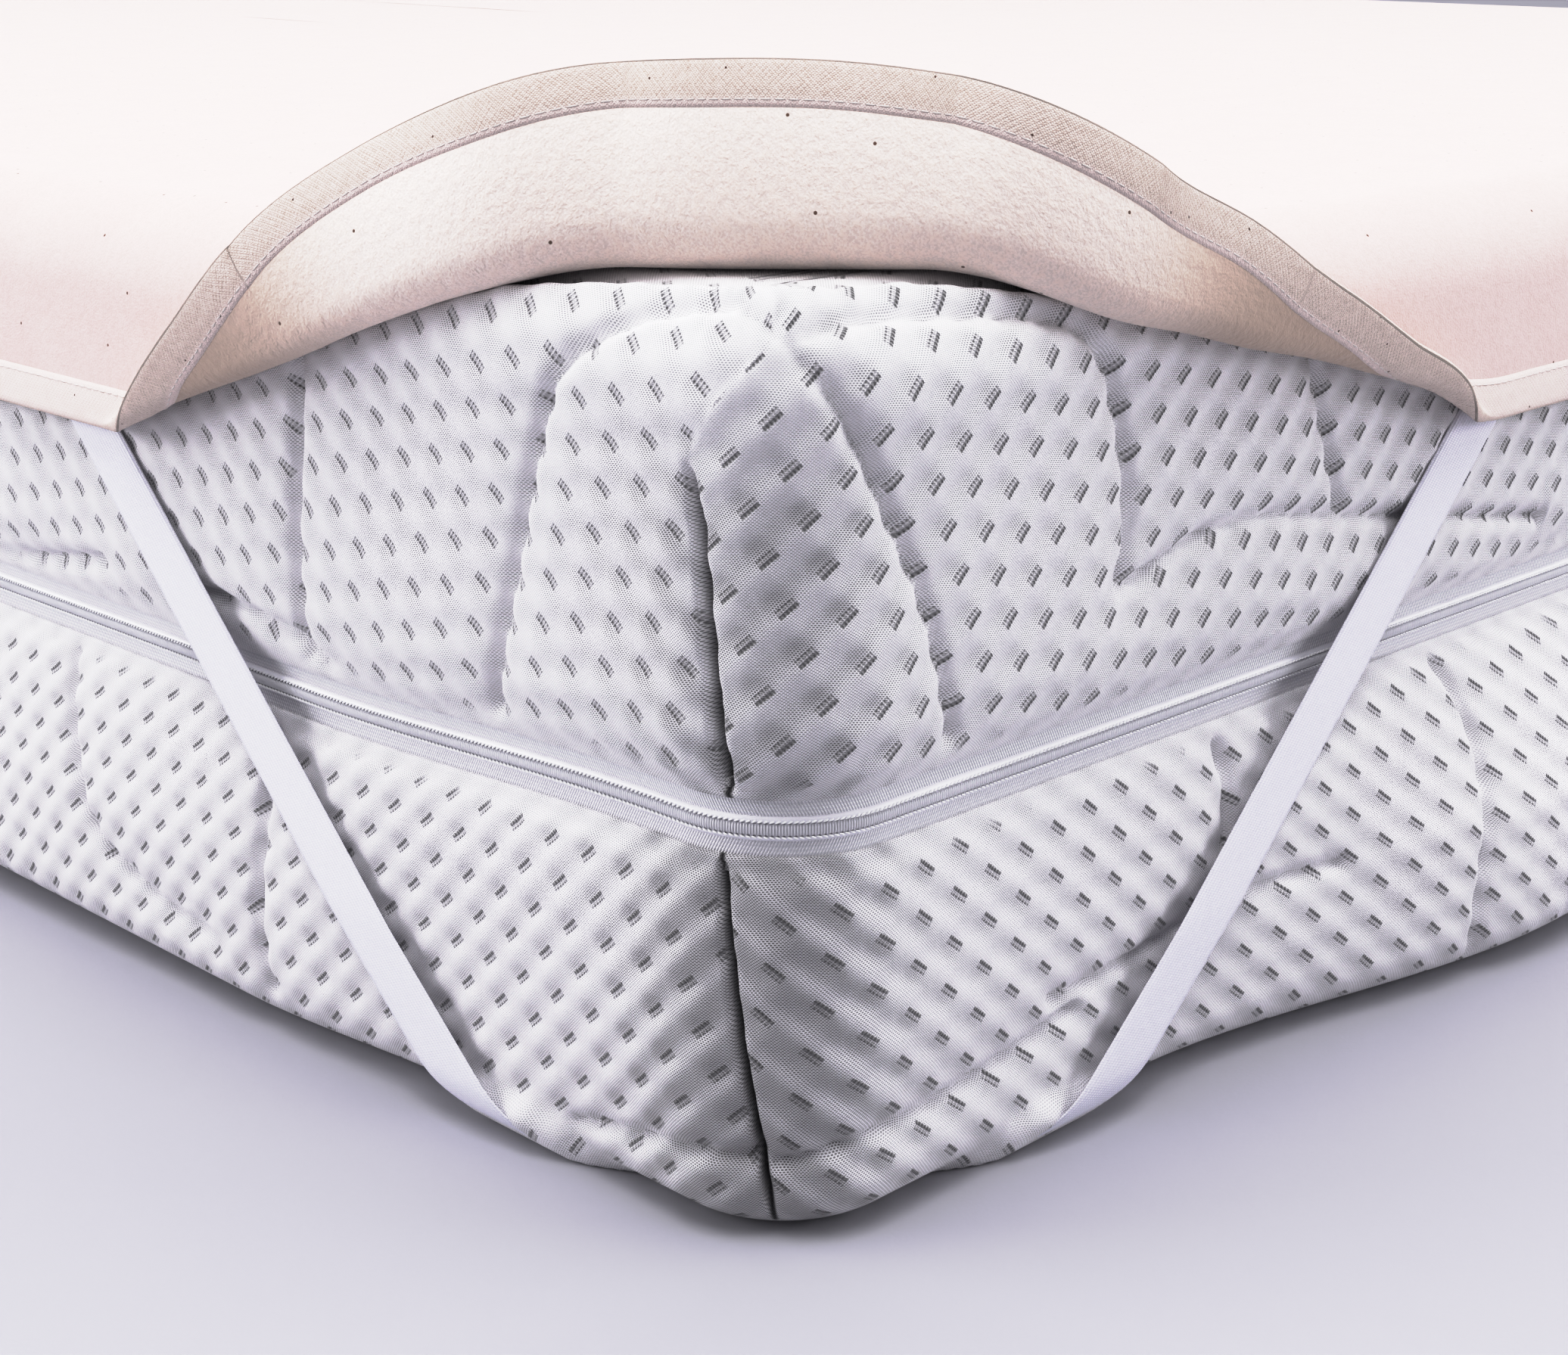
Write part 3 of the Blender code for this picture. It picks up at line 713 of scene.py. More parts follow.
def rounded_rows(points, spacing):
    """Rows spaced evenly along a smooth curve through (inset, z, swell, sag) points."""
    knots = np.array(points, float)
    way = np.concatenate([[0], np.cumsum(np.hypot(*np.diff(knots[:, :2], axis=0).T))])
    count = max(int(way[-1] / spacing), 4)
    fine = np.linspace(0, way[-1], count * 4)
    rows = np.column_stack([np.interp(fine, way, knots[:, k]) for k in range(4)])
    kernel = 9
    pad = np.vstack([np.repeat(rows[:1], kernel, 0), rows, np.repeat(rows[-1:], kernel, 0)])
    weights = np.hanning(2 * kernel + 3)[1:-1]
    weights /= weights.sum()
    out = np.column_stack([np.convolve(pad[:, k], weights, "valid") for k in range(4)])
    out[0], out[-1] = rows[0], rows[-1]
    return out[::4] if (len(out) - 1) % 4 == 0 else np.vstack([out[::4], out[-1:]])


def quarter(inset, z, radius, side, swell):
    """Section points of a rounded edge round a centre, upward for side 1, downward for -1."""
    turns = [math.pi / 2 * step / 10 for step in range(11)]
    return [(inset - radius * math.cos(t), z + radius * math.sin(t) * side, swell, 0.0) for t in turns]


def cover_rows(side):
    """A cover's section, upward for side 1 and downward for -1, as (inset, z, swell, sag)
    rows from inside its folded edge at the zip to its flat, and how many are inside."""
    fold = [
        (TAPE_BACK + 0.0012, 0.0004),
        (TAPE_BACK + GAP, TAPE_HALF + GAP),
        (TAPE_SHOWN - 0.0002, TAPE_HALF + GAP),
        (TAPE_SHOWN - 0.0002, LIP_Z + 0.0005),
        (0.0020, LIP_Z),
        (0.0014, LIP_Z + 0.0003),
        (0.0009, LIP_Z + 0.0012),
        (0.0006, LIP_Z + 0.0024),
    ]
    fold = [(inset, ZIP_Z + side * rise, 0.0, 1.0) for inset, rise in fold]
    if side > 0:
        body = [(-0.0004, ZIP_Z + 0.0125, 0.0, 0.9), (-0.0022, 0.119, 0.0, 0.8)]
        body += [(-0.0012, 0.138, 0.0, 0.5), (-0.0004, 0.152, 0.0, 0.2), (0.0, 0.168, 0.0, 0.0)]
        body += quarter(TOP_RADIUS, HEIGHT - TOP_RADIUS, TOP_RADIUS, side, 0.0)
    else:
        body = [(-0.0004, ZIP_Z - 0.0125, 0.12, 0.9), (-0.0022, 0.072, 0.4, 0.6)]
        body += [(-BASE_BULGE, 0.045, 0.9, 0.1), (-BASE_BULGE, 0.027, 1.0, 0.0)]
        body += quarter(BASE_RADIUS - BASE_BULGE, BASE_RADIUS, BASE_RADIUS, side, 1.0)
    flat = (PLAN_RADIUS - 0.0015, *body[-1][1:])
    rows = np.vstack([fold[:-1], rounded_rows(fold[-1:] + body, COVER_STEP), [flat]])
    return rows, len(fold) - 1


def quilting(which, along, seam_at, up):
    """How far the quilting stands out, millimetres: puffs that are drawn in at the seams,
    less so where the seams meet above a corner."""
    far = distance_to(SEAMS[which], seam_at, up)
    drawn_in = SEAM_DEPTH * bell(far, SEAM_WIDE) + SEAM_CREASE * np.exp(-far)
    if which == "upper":
        drawn_in = drawn_in * (1 - 0.55 * bell(np.hypot(along, up - SEAMS_MEET_Z), 14.0))
    return PUFF * (1 - bell(far, PUFF_WIDE)) - drawn_in


def dart_fold(which, along, up):
    """The dart's crease, 0 to 1, which the knit also paints near black as painted shade, and how deep the
    cover folds in there, millimetres.
    """
    dart = DARTS[which]
    far = distance_to([dart["path"]], along, up)
    top = dart["path"][0][1]
    tapered = smooth_step((top + 2.0 - up) / 16.0) if which == "upper" else 1.0
    crease = bell(far, dart["wide"]) * tapered
    return crease, dart["depth"] * crease + 1.8 * bell(far, 7.0) * (0.4 + 0.6 * tapered)


def over_strap(at, rise):
    """0 to 1 where a front strap passes under the lower cover's edge, from millimetres."""
    away = np.abs(np.abs(at) - STRAP_AT_BASE - STRAP_LEAN * rise)
    return smooth_step((30 - away) / 16) * smooth_step((15.5 - rise) / 6) * smooth_step((rise + 1.0) / 2)


def make_cover(which):
    """One half of the mattress, its side moved out and in by puffs, seams, dart and knit."""
    upper = which == "upper"
    side = 1 if upper else -1
    rows, first_body = cover_rows(side)
    columns = stations(COVER_STEP, around_dart=DART_STEP)
    count, height = len(columns), len(rows)

    def of_columns(values):
        return np.repeat(np.array(values), height, axis=0)

    steps = np.gradient(rows[:, :2], axis=0)
    normals = unit(np.column_stack([-steps[:, 1], steps[:, 0]])) * side
    travel = np.concatenate([[0], np.cumsum(np.hypot(*np.diff(rows[:, :2], axis=0).T))]) * 1000
    travel -= travel[first_body]
    base = np.array([s.point(*row) for s in columns for row in rows])
    along = of_columns([s.from_corner for s in columns])
    at = of_columns([MATTRESS.from_start(s.at) * 1000 for s in columns])
    up = np.tile(SIDE_FROM[which] + side * travel, count)
    i, j, right = lattice(which, along, up)
    phase = 2 * np.pi * (i - j)
    soft = np.where(right, np.cos(phase - 0.6), -LEFT_RIPPLE[which] * np.cos(phase))
    bumps = np.cos(2 * np.pi * (i - 0.5)) * 0.5 - np.cos(2 * np.pi * (j - 0.5)) * 0.5
    near_slit = (1 - np.cos(2 * np.pi * i)) * (1 - np.cos(2 * np.pi * j)) / 4
    fine = 1 - smooth_step((np.abs(at) - KNIT_REACH) / KNIT_FADE)
    knit = RIPPLE[which] * soft * (0.55 + 0.75 * near_slit**0.5)
    knit = (knit + BUMP * bumps - SLIT_DENT * near_slit**2) * fine
    layer = 7.0 if upper else 1.0
    rough = np.array([noise.noise(Vector((a * 0.021, b * 0.03, layer))) for a, b in zip(at, up)])
    seam_at = of_columns([s.seam_at for s in columns])
    push = quilting(which, along, seam_at, up) + knit + UNEVEN * rough
    crease, dart_cut = dart_fold(which, along, up)
    edge_fade = np.tile(smooth_step(travel / 4.0), count)
    push = push * edge_fade - dart_cut * (0.35 + 0.65 * edge_fade)
    if upper:
        covered = smooth_step((up - np.interp(at, SHOWN_AT, SHOWN_TO) + 2) / 6)
        push = push + TOP_SWELL * smooth_step((up - TOP_SWELL_FROM) / 30)
        push = np.minimum(push, push * (1 - covered) - 0.25 * covered)
    else:
        push = push * (1 - smooth_step((14.0 - up) / 12.0))
        push = push + STRAP_BULGE * over_strap(at, np.maximum(base[:, 2] * 1000, 0.0))
    inward = np.tile(np.arange(height) < first_body, count)
    push[inward] = 0.0
    turned = np.tile(normals, (count, 1))
    move = of_columns([(*s.out, 0.0) for s in columns]) * (-turned[:, :1])
    move[:, 2] += turned[:, 1]
    points = base + move * (push / 1000)[:, None]
    points[:, 2] = np.maximum(points[:, 2], 0.0002)
    faces = loft_faces(count, height)
    for row in (0, height - 1):
        faces.append(tuple(c * height + row for c in range(count)))
    shown = smooth_step((np.abs(along - dart_line(which, up)) - 0.8) / 0.7)
    shown = shown * smooth_step((of_columns([s.span / 2 for s in columns]) - np.abs(along)) / 18)
    # Open stitches darken the knit's holes: on one side of each ripple and near the corner this is painted
    # shade, at the dart partly real stretch.
    open_and_shaded = (0.5 - 0.5 * np.where(right, 1.0, -1.0) * np.sin(phase)) * (0.55 + 0.45 * near_slit**0.5)
    stretch_and_corner_shade = 0.62 * (1 - smooth_step((up - 160) / 30)) if upper else 1.1
    open_and_shaded = 0.75 * open_and_shaded + stretch_and_corner_shade * bell(along + 8, 32.0)
    made = piece(
        "mattress_cover_" + which,
        "quilted",
        points,
        faces,
        knit_finish(which),
        "knit",
        cell=np.column_stack([i, j, np.where(inward, 0.0, edge_fade * shown)]),
        place=np.column_stack([at + 0.15 * soft * fine, up + 0.30 * soft * fine, np.zeros(len(up))]),
        # How open the stitches are, the dart's crease and the slits' line, each carrying painted shade.
        wear=np.column_stack([open_and_shaded, crease, np.where(right, 1.0, 0.3 if upper else 0.8)]),
    )
    return made


# ---- zip


def band(section, columns):
    """Points, faces and places of a closed section of (inset, rise) points, run round."""
    points = [s.point(inset, ZIP_Z + rise, 0.0, 1.0) for s in columns for inset, rise in section]
    weave = [(s.at * 1000, rise * 1000, 0.0) for s in columns for _, rise in section]
    return points, loft_faces(len(columns), len(section), wrap_rows=True), weave


def make_tapes(columns, finish):
    for which, side in (("upper", 1), ("lower", -1)):
        low, high = side * GAP / 2, side * TAPE_HALF
        rises = np.linspace(low, high, 12)
        section = [(TAPE_SHOWN - 0.0004 * math.sin(math.pi * k / 11), r) for k, r in enumerate(rises)]
        section += [(TAPE_BACK, high), (TAPE_BACK, low)]
        points, faces, weave = band(section, columns)
        piece("zip_tape_" + which, "woven", points, faces, finish, "zip_tape", weave=weave)


def make_coil(columns, finish):
    """The closed coil: its strip all round, and its turns and threads near the corner."""
    half = [(TAPE_SHOWN, -COIL_HALF), (COIL_BASE + 0.0001, -COIL_HALF)]
    half += [(COIL_BASE - 0.0004, -0.0021), (COIL_BASE - 0.0006, -0.0008)]
    coil = band(half + [(inset, -rise) for inset, rise in reversed(half)], columns)
    inset = COIL_BASE - 0.0007
    up = np.array([0, 0, 1.0])
    for k in range(int(-TRIM_NEAR / COIL_PITCH), int(TRIM_NEAR / COIL_PITCH)):
        s = Station(k * COIL_PITCH)
        forth = np.array([*s.out, 0.0])
        along = np.array([-s.out[1], s.out[0], 0.0])
        axes = [axis * size for axis, size in zip((up, along, forth), TURN_HALF)]
        for off in (-0.25, 0.25):
            middle = Station((k + off) * COIL_PITCH)
            bead(coil, middle.point(inset, ZIP_Z, 0.0, 1.0), axes, 0.45)
        for side in (1, -1):
            lean = along * THREAD_HALF[0] + up * side * THREAD_LEAN
            axes = (lean, up * THREAD_HALF[1], forth * THREAD_HALF[2])
            bead(coil, s.point(inset, ZIP_Z + side * THREAD_RISE, 0.0, 1.0), axes, 1.0)
    points, faces, weave = coil
    piece("zip_coil", "closed", points, faces, finish, "zip_coil", weave=weave)


# ---- topper sheet


def drape_profile(past):
    """(reach past the side, drop) of the sheet's middle, for flat cloth past the side."""
    turn = math.pi / 2 - FLARE
    along = past + BEND_START
    if along <= 0:
        return past, 0.0
    angle = min(along / BEND_RADIUS, turn)
    reach = -BEND_START + BEND_RADIUS * math.sin(angle)
    drop = BEND_RADIUS * (1 - math.cos(angle))
    rest = max(along - BEND_RADIUS * turn, 0.0)
    return reach + rest * math.cos(turn), drop + rest * math.sin(turn)


def draped(flat):
    """Where a point of the flat sheet lies on the mattress: the middle of its thickness."""
    x_reach, x_drop = drape_profile(abs(flat[0]) - WIDTH / 2)
    y_reach, y_drop = drape_profile(abs(flat[1]) - LENGTH / 2)
    x = math.copysign(WIDTH / 2 + x_reach, flat[0])
    y = math.copysign(LENGTH / 2 + y_reach, flat[1])
    return np.array([x, y, HEIGHT + GAP + SHEET / 2 - x_drop - y_drop])


def cut_edge(at):
    """The flat sheet's edge: the point and the outward direction there."""
    _, _, base, out = CUT.find(at)
    return base + CUT_RADIUS * out, out


def turned_back(at):
    """(trim, flap, roll, turn) at any place along the edge, on smooth curves."""
    if not TURNED_AT[0] < at < TURNED_AT[-1]:
        return TURNED_SHAPE[0]
    i = np.searchsorted(TURNED_AT, at, "right") - 1
    span = TURNED_AT[i + 1] - TURNED_AT[i]
    t = (at - TURNED_AT[i]) / span
    ends = (2 * t**3 - 3 * t**2 + 1) * TURNED_SHAPE[i] + (-2 * t**3 + 3 * t**2) * TURNED_SHAPE[i + 1]
    slopes = (t**3 - 2 * t**2 + t) * TURNED_SLOPES[i] + (t**3 - t**2) * TURNED_SLOPES[i + 1]
    return ends + slopes * span


def fold_line(at):
    edge, out = cut_edge(at)
    trim, flap, _, _ = turned_back(at)
    return edge - out * (trim + flap)


class Column:
    """One line of cloth from the sheet's inner ring out to its cut edge."""

    def __init__(self, at):
        self.at = at
        edge, self.out = cut_edge(at)
        self.near = CUT.from_start(at)
        self.start = edge - self.out * (RING_IN + OVERHANG)
        trim, self.flap, self.roll, self.turn = turned_back(self.near)
        self.length = RING_IN + OVERHANG - trim
        self.fold = self.length - self.flap
        self.calm = smooth_step((abs(self.near) - 0.36) / 0.12)
        if self.flap > 0:
            self.set_fold()

    def set_fold(self):
        """The frame of the fold: along it, across it and away from the mattress."""
        step = 0.001
        line = unit(fold_line(self.near + step) - fold_line(self.near - step))
        across = np.array([line[1], -line[0]])
        self.slide = float(self.out @ line)
        self.climb = float(self.out @ across)
        flat = self.start + self.out * self.fold
        self.origin = self.lying(self.fold)
        self.along = unit(draped(flat + step * line) - draped(flat - step * line))
        self.across = unit(draped(flat + step * across) - draped(flat - step * across))
        self.away = np.cross(self.along, self.across)
        if self.away @ np.append(flat, HEIGHT) < 0:
            self.away = -self.away

    def lying(self, way):
        """The cloth on the mattress, raised near the edge by its binding, and hanging in
        shallow waves away from the turned-back corner."""
        rise = (GAP + BINDING_SKIN) * smooth_step(1 - (self.length - BINDING - way) / BINDING_RISE)
        spot = draped(self.start + self.out * way) + np.array([0.0, 0.0, rise])
        hang = smooth_step((way - self.length + HANG) / HANG) * self.calm
        if hang > 0:
            wave = 0.5 + 0.5 * noise.noise(Vector((self.at * 6.0, 0.3, 0.0)))
            spot[:2] += self.out * hang * HANG_WAVE * wave
        return spot

    def point(self, way):
        """The cloth's middle surface, this far from the inner ring."""
        past = way - self.fold
        if self.flap <= 0 or past <= 0:
            return self.lying(way)
        bent = min(self.climb * past, self.roll * self.turn)
        angle = bent / self.roll
        last = angle + (self.climb * past - bent) / CURL_RADIUS
        forward = self.roll * math.sin(angle) + CURL_RADIUS * (math.sin(last) - math.sin(angle))
        upward = self.roll * (1 - math.cos(angle)) + CURL_RADIUS * (math.cos(angle) - math.cos(last))
        return self.origin + self.slide * past * self.along + forward * self.across + upward * self.away

    def ways(self):
        """Distances of the rows of points, close in the bend and the turned-back part."""
        bound = self.length - BINDING
        fold = min(self.fold, bound - 0.006) if self.flap > 0 else bound - 0.010
        first = max(fold - 0.075, 0.03)
        return [
            *np.linspace(0.0, first, 6)[:-1],
            *np.linspace(first, fold - 0.004, BEND_ROWS)[:-1],
            *np.linspace(fold - 0.004, bound, FLAP_ROWS)[:-1],
            *np.linspace(bound, self.length, EDGE_ROWS),
        ]


def column_places():
    """Places along the cut edge: close at the turned-back corner and on most of the front,
    wide on the other straights."""
    places = list(np.arange(-SHEET_NEAR, SHEET_NEAR + SHEET_STEP / 2, SHEET_STEP))
    at = places[-1] + 0.006
    while at < CUT.around - SHEET_NEAR - 0.008:
        places.append(at)
        in_corner = any(abs(at - corner) < CUT.arc / 2 + 0.02 for corner in CUT.other_corners)
        wanted = 0.011 if in_corner else 0.022
        at += min(wanted if at >= 1 else 0.004, 0.004 + (CUT.around - SHEET_NEAR - at) / 3)
    return places


def sheet_grid():
    """Middle points, normals and flat places of the sheet, a line for each column."""
    columns = [Column(at) for at in column_places()]
    ways = np.array([c.ways() for c in columns])
    grid = np.array([[c.point(w) for w in ww] for c, ww in zip(columns, ways)])
    flat = np.array([[c.start + c.out * w for w in ww] for c, ww in zip(columns, ways)])
    onward = np.roll(grid, -1, axis=0) - np.roll(grid, 1, axis=0)
    normals = unit(np.cross(onward, np.gradient(grid, axis=1)))
    if normals[0, 0, 2] < 0:
        normals = -normals
    return columns, ways, grid, normals, flat


def top_waves(flat):
    """Shallow unevenness of cloth that lies loose, in metres."""
    wide = noise.noise(Vector((flat[0] * 4.0, flat[1] * 4.0, 3.0)))
    tight = noise.noise(Vector((flat[0] * 11.0, flat[1] * 11.0, 9.0)))
    return 0.0011 * (0.6 + wide) + 0.0005 * (0.5 + tight)


def make_sheet(columns, grid, normals, flat, finish):
    """The sheet as two skins over the grid and the rings inside it, joined at the edge."""
    count = len(columns)
    shares = np.arange(INNER_RINGS, 0, -1) / (INNER_RINGS + 1)
    inner = flat[:, :1] * (1 - shares)[:, None]
    level = np.full((count, INNER_RINGS, 1), grid[0, 0, 2])
    middle = np.concatenate([np.concatenate([inner, level], axis=2), grid], axis=1)
    upright = np.tile((0, 0, 1.0), (count, INNER_RINGS, 1))
    half = np.concatenate([upright, normals], axis=1) * SHEET / 2
    flat = np.concatenate([inner, flat], axis=1)
    rows = flat.shape[1]
    lift = np.array([[top_waves(p) for p in line] for line in flat])
    middle[:, :, 2] += lift * (1 - smooth_step((np.arange(rows) - INNER_RINGS - 1) / 6.0))
    points = np.concatenate([(middle + half).reshape(-1, 3), (middle - half).reshape(-1, 3)])
    total = count * rows
    faces = loft_faces(count, rows)
    faces += [tuple(reversed(f)) for f in loft_faces(count, rows, first=total)]
    for c in range(count):
        one, other = c * rows + rows - 1, (c + 1) % count * rows + rows - 1
        faces.append((one, other, total + other, total + one))
    faces.append(tuple(c * rows for c in reversed(range(count))))
    faces.append(tuple(total + c * rows for c in range(count)))
    from_flap = np.array([abs(c.near) for c in columns])
    right = (grid[:, -1] - np.array(CORNER)) @ np.array(ASIDE) > 0
    # Painted shade on the underside where the turned corner runs out, starting closer to the corner on the
    # right.
    ends = 1 + smooth_step((from_flap - np.where(right, 0.05, 0.09)) / 0.12)
    marks = [np.dstack([flat, np.repeat(under[:, None], rows, axis=1)]) for under in (0 * ends, ends)]
    marks = np.concatenate(marks).reshape(-1, 3)
    return piece("topper_sheet", "flannel", points, faces, finish, "flannel", flat=marks)


def binding_lift(way):
    """How high the strip stands off the cloth: a low roll at its inner edge, held down
    by the stitches, then its full thickness."""
    return float(np.interp(way * 1000, [0, 0.7, 1.7, 4.0, 10.5], [-0.25, 0.08, 0.06, 0.34, 0.50])) / 1000


def make_binding(columns, ways, grid, normals, finish):
    """The folded strip: an outer and an inner skin on both sides, round at the cut edge,
    with its inner border rolled."""
    first = len(ways[0]) - EDGE_ROWS
    past = unit(grid[:, -1] - grid[:, -2])
    strip, turned = grid[:, first:], normals[:, first:]
    way = (ways[:, first:] - ways[:, first : first + 1]) * 1000
    at = np.array([c.at for c in columns]) * 1000
    lifts = [GAP + binding_lift(BINDING * k / (EDGE_ROWS - 1)) for k in range(EDGE_ROWS)]
    inner_lifts = [0.00002] + [GAP] * (EDGE_ROWS - 1)
    sections, across = [], []

    def add_skin(side, heights, order):
        for k in order:
            sections.append(strip[:, k] + turned[:, k] * side * (SHEET / 2 + heights[k]))
            across.append(side * way[:, k])

    outward, inward = range(EDGE_ROWS), range(EDGE_ROWS - 1, -1, -1)
    add_skin(1, lifts, outward)
    for step in range(1, 5):
        angle = math.pi * step / 5
        reach = SHEET / 2 + lifts[-1]
        round_it = past * 0.62 * math.sin(angle) + turned[:, -1] * math.cos(angle)
        sections.append(strip[:, -1] + round_it * reach)
        across.append(way[:, -1] + step)
    add_skin(-1, lifts, inward)
    add_skin(-1, inner_lifts, outward)
    add_skin(1, inner_lifts, inward)
    across = np.stack(across, axis=1)
    # Paler along the inner edge; the face on the sheet's top side is made paler as painted light.
    pale_and_lit = 1 - smooth_step((np.abs(across) - 1.3) / 0.5)
    pale_and_lit[:, :EDGE_ROWS] = np.maximum(pale_and_lit[:, :EDGE_ROWS], 0.75)
    along = np.repeat(at[:, None], len(sections), axis=1)
    return piece(
        "topper_binding",
        "bias",
        np.stack(sections, axis=1).reshape(-1, 3),
        loft_faces(len(columns), len(sections), wrap_rows=True),
        finish,
        "binding",
        weave=np.dstack([along, across, pale_and_lit]).reshape(-1, 3),
    )


def stitch_end(at):
    """Where a stitch goes through the binding: the place, and the directions off the cloth
    and across the strip."""
    column = Column(at)
    way = column.length - BINDING + STITCH_IN
    spot = column.point(way)
    across = column.point(way + 0.001) - column.point(way - 0.001)
    off = unit(np.cross(Column(at + 0.001).point(way) - spot, across))
    if off @ np.array([*column.out, 1.0]) < 0 and column.flap <= 0:
        off = -off
    return spot, off, unit(across)


def make_stitches(finish):
    """The binding's row of stitches, on both faces near the turned-back corner."""
    stitches = [], [], []
    lift = SHEET / 2 + GAP + binding_lift(STITCH_IN) + STITCH_RISE
    places = [*np.arange(-COVER_NEAR, COVER_NEAR, STITCH_PITCH)]
    places += [*np.arange(COVER_NEAR, CUT.around - COVER_NEAR, STITCH_PITCH)]
    for at in places:
        start, off, across = stitch_end(at - STITCH_REACH * STITCH_PITCH)
        end, _, _ = stitch_end(at + STITCH_REACH * STITCH_PITCH)
        close_up = abs(Column(at).near) < TRIM_NEAR
        axes = ((end - start) / 2, across * STITCH_HALF[0], off * STITCH_HALF[1])
        for side in (1, -1) if close_up else (1,):
            centre = (start + end) / 2 + off * side * lift
            bead(stitches, centre, axes, 0.0, sides=5 if close_up else 3, stops=4 if close_up else 2)
    points, faces, weave = stitches
    return piece("topper_binding", "stitches", points, faces, finish, "binding", False, weave=weave)


# ---- corner straps


def strap_point(down, along, lift):
    """A point on the strap's path: inset from the side, place along it, and height."""
    z = STRAP_HEM_Z - min(down, STRAP_STRAIGHT)
    reach = np.interp(z, [0.045, 0.116, STRAP_HEM_Z, STRAP_TOP_Z], [0.0086, 0.0042, 0.0018, 0.0009])
    past = max(down - STRAP_STRAIGHT, 0)
    angle = min(past / STRAP_BEND, math.pi / 2)
    under = max(past - STRAP_BEND * math.pi / 2, 0)
    inset = -reach + STRAP_BEND * (1 - math.cos(angle)) + under - lift * math.cos(angle)
    return inset, along, z - (STRAP_BEND + lift) * math.sin(angle)


def make_straps(finish):
    """The four straps, each from one side of its corner down, under it and up the other."""
    bend_end = STRAP_STRAIGHT + STRAP_BEND * math.pi / 2
    downs = [
        *np.linspace(STRAP_HEM_Z - STRAP_TOP_Z, STRAP_STRAIGHT, 60),
        *np.linspace(STRAP_STRAIGHT, bend_end, 12)[1:],
        bend_end + STRAP_UNDER,
    ]
    slant = math.hypot(1, STRAP_SLOPE)
    shares = np.linspace(1, -1, 15)
    lifts = STRAP / 2 * (0.35 + 0.65 * (1 - np.abs(shares) ** 8))
    rim = [*zip(shares, lifts), *zip(shares[::-1], -lifts[::-1])]
    sections, marks = [], []
    for down in downs:
        middle = STRAP_AT_HEM - STRAP_SLOPE * down
        skin = [(middle + STRAP_WIDTH / 2 * slant * s, lift) for s, lift in rim]
        sections.append([strap_point(down, along, lift) for along, lift in skin])
        marks.append([(abs(down) * slant * 1000, s * STRAP_WIDTH * 500, 0.0) for s, _ in rim])
    weave = [mark for marked in marks + marks[::-1] for mark in marked]
    count, rows = 2 * len(sections), len(rim)
    faces = loft_faces(count, rows, wrap_columns=False, wrap_rows=True)
    faces += [tuple(range(rows)), tuple(range((count - 1) * rows, count * rows))]
    names = ("front_left", "front_right", "back_right", "back_left")
    for name, (sx, sy) in zip(names, CORNER_SIGNS):
        one = [(sx * (WIDTH / 2 - i), sy * (LENGTH / 2 - a), z) for s in sections for i, a, z in s]
        other = [(sx * (WIDTH / 2 - a), sy * (LENGTH / 2 - i), z) for s in sections[::-1] for i, a, z in s]
        piece("corner_strap_" + name, "elastic", one + other, faces, finish, "elastic", weave=weave)


# ---- studio


def make_camera():
    data = bpy.data.cameras.new("camera")
    data.sensor_width = SENSOR
    data.sensor_fit = "HORIZONTAL"
    data.lens = SENSOR * FOCAL_PIXELS / PHOTO_WIDTH
    data.clip_start = 0.01
    obj = placed("camera", data)
    obj.location = CORNER - AHEAD * CAMERA_BACK + Vector((0, 0, CAMERA_Z))
    look = AHEAD * math.cos(CAMERA_PITCH) - Vector((0, 0, math.sin(CAMERA_PITCH)))
    obj.rotation_euler = look.to_track_quat("-Z", "Y").to_euler()
    bpy.context.scene.camera = obj


def from_corner(ahead, aside, up):
    """A place seen from the front left corner: further from the camera, right, and up."""
    return CORNER + AHEAD * ahead + ASIDE * aside + Vector((0, 0, up))


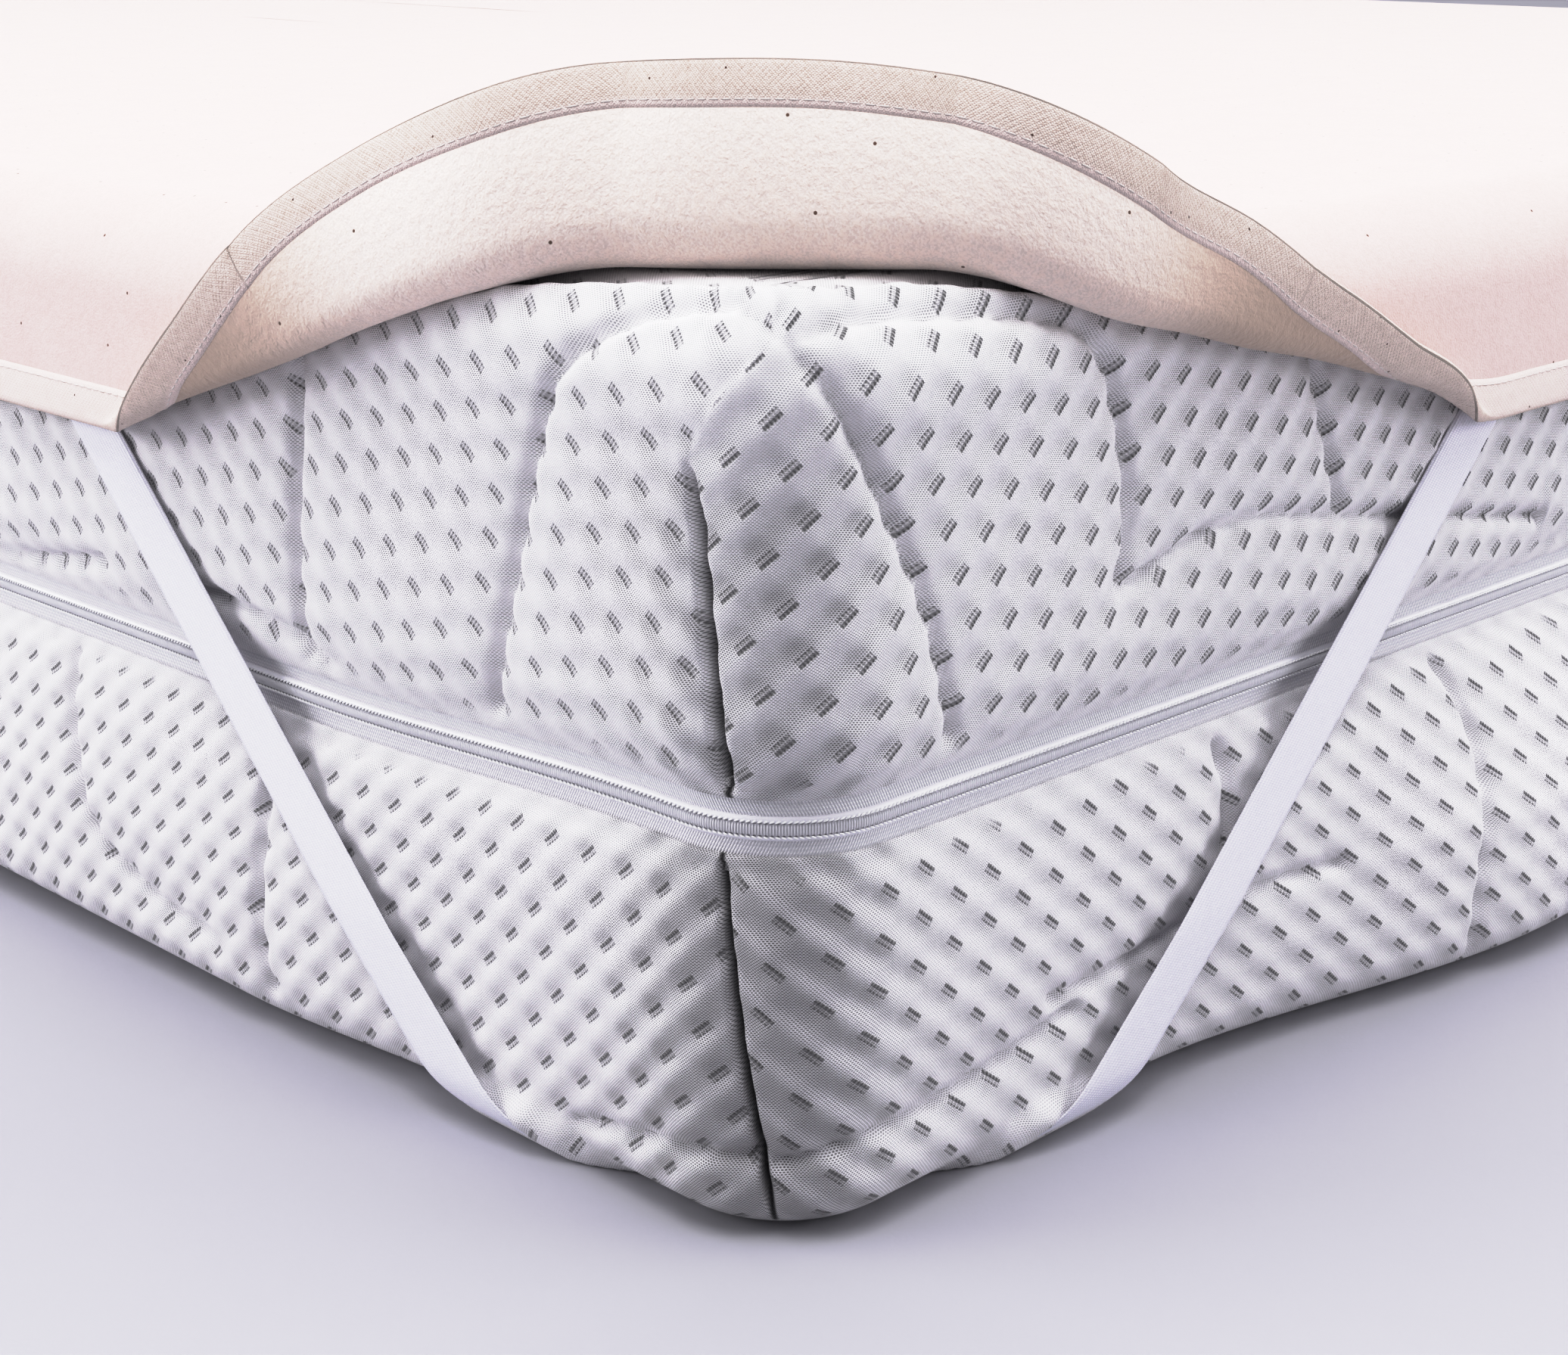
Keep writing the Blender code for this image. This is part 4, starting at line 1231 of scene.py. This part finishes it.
def soft_light(name, place, aim, size, power):
    data = bpy.data.lights.new(name, "AREA")
    data.shape = "RECTANGLE"
    data.size, data.size_y = size
    data.energy = power
    obj = placed(name, data)
    obj.location = from_corner(*place)
    obj.rotation_euler = (from_corner(*aim) - obj.location).to_track_quat("-Z", "Y").to_euler()


def make_studio():
    mesh = bpy.data.meshes.new("studio_floor")
    lines = np.linspace(-FLOOR_REACH, FLOOR_REACH, FLOOR_CELLS + 1)
    faces = loft_faces(len(lines), len(lines), wrap_columns=False)
    mesh.from_pydata([(x, y, 0.0) for x in lines for y in lines], [], faces)
    mesh.materials.append(floor_finish())
    placed("studio_floor", mesh)
    soft_light("left_soft", (0.3, -2.6, 0.75), (0.4, -0.4, 0.1), (1.8, 1.1), 40.0)
    soft_light("right_soft", (0.3, 2.6, 0.75), (0.4, 0.4, 0.1), (1.8, 1.1), 29.5)
    soft_light("front_top_soft", (-0.45, 0.0, 2.0), (0.2, 0.0, 0.0), (1.4, 1.4), 18.5)
    soft_light("top_soft", (0.8, 0.0, 3.4), (0.6, 0.0, 0.0), (4.5, 4.5), 100.0)
    soft_light("far_soft", (6.0, 0.8, 3.6), (5.8, 0.8, 0.0), (4.5, 4.5), 120.0)
    world = bpy.data.worlds.new("studio")
    world.use_nodes = True
    sky = world.node_tree.nodes["Background"]
    sky.inputs[0].default_value = (0.93, 0.92, 1.0, 1.0)
    sky.inputs[1].default_value = 0.30
    bpy.context.scene.world = world
    settings = bpy.context.scene.view_settings
    settings.view_transform = "Standard"
    settings.use_curve_mapping = True
    tone = settings.curve_mapping.curves[3]
    tone.points[0].location, tone.points[1].location = TONES[0], TONES[-1]
    for point in TONES[1:-1]:
        tone.points.new(*point)
    settings.curve_mapping.update()


def main():
    make_camera()
    make_studio()
    upper = make_cover("upper")
    make_cover("lower")
    zip_columns = stations(ZIP_STEP, coarse=0.030)
    make_tapes(zip_columns, tape_finish())
    make_coil(zip_columns, coil_finish())
    columns, ways, grid, normals, flat = sheet_grid()
    sheet = make_sheet(columns, grid, normals, flat, flannel_finish())
    binding = make_binding(columns, ways, grid, normals, binding_finish())
    stitches = make_stitches(thread_finish())
    make_straps(elastic_finish())


main()
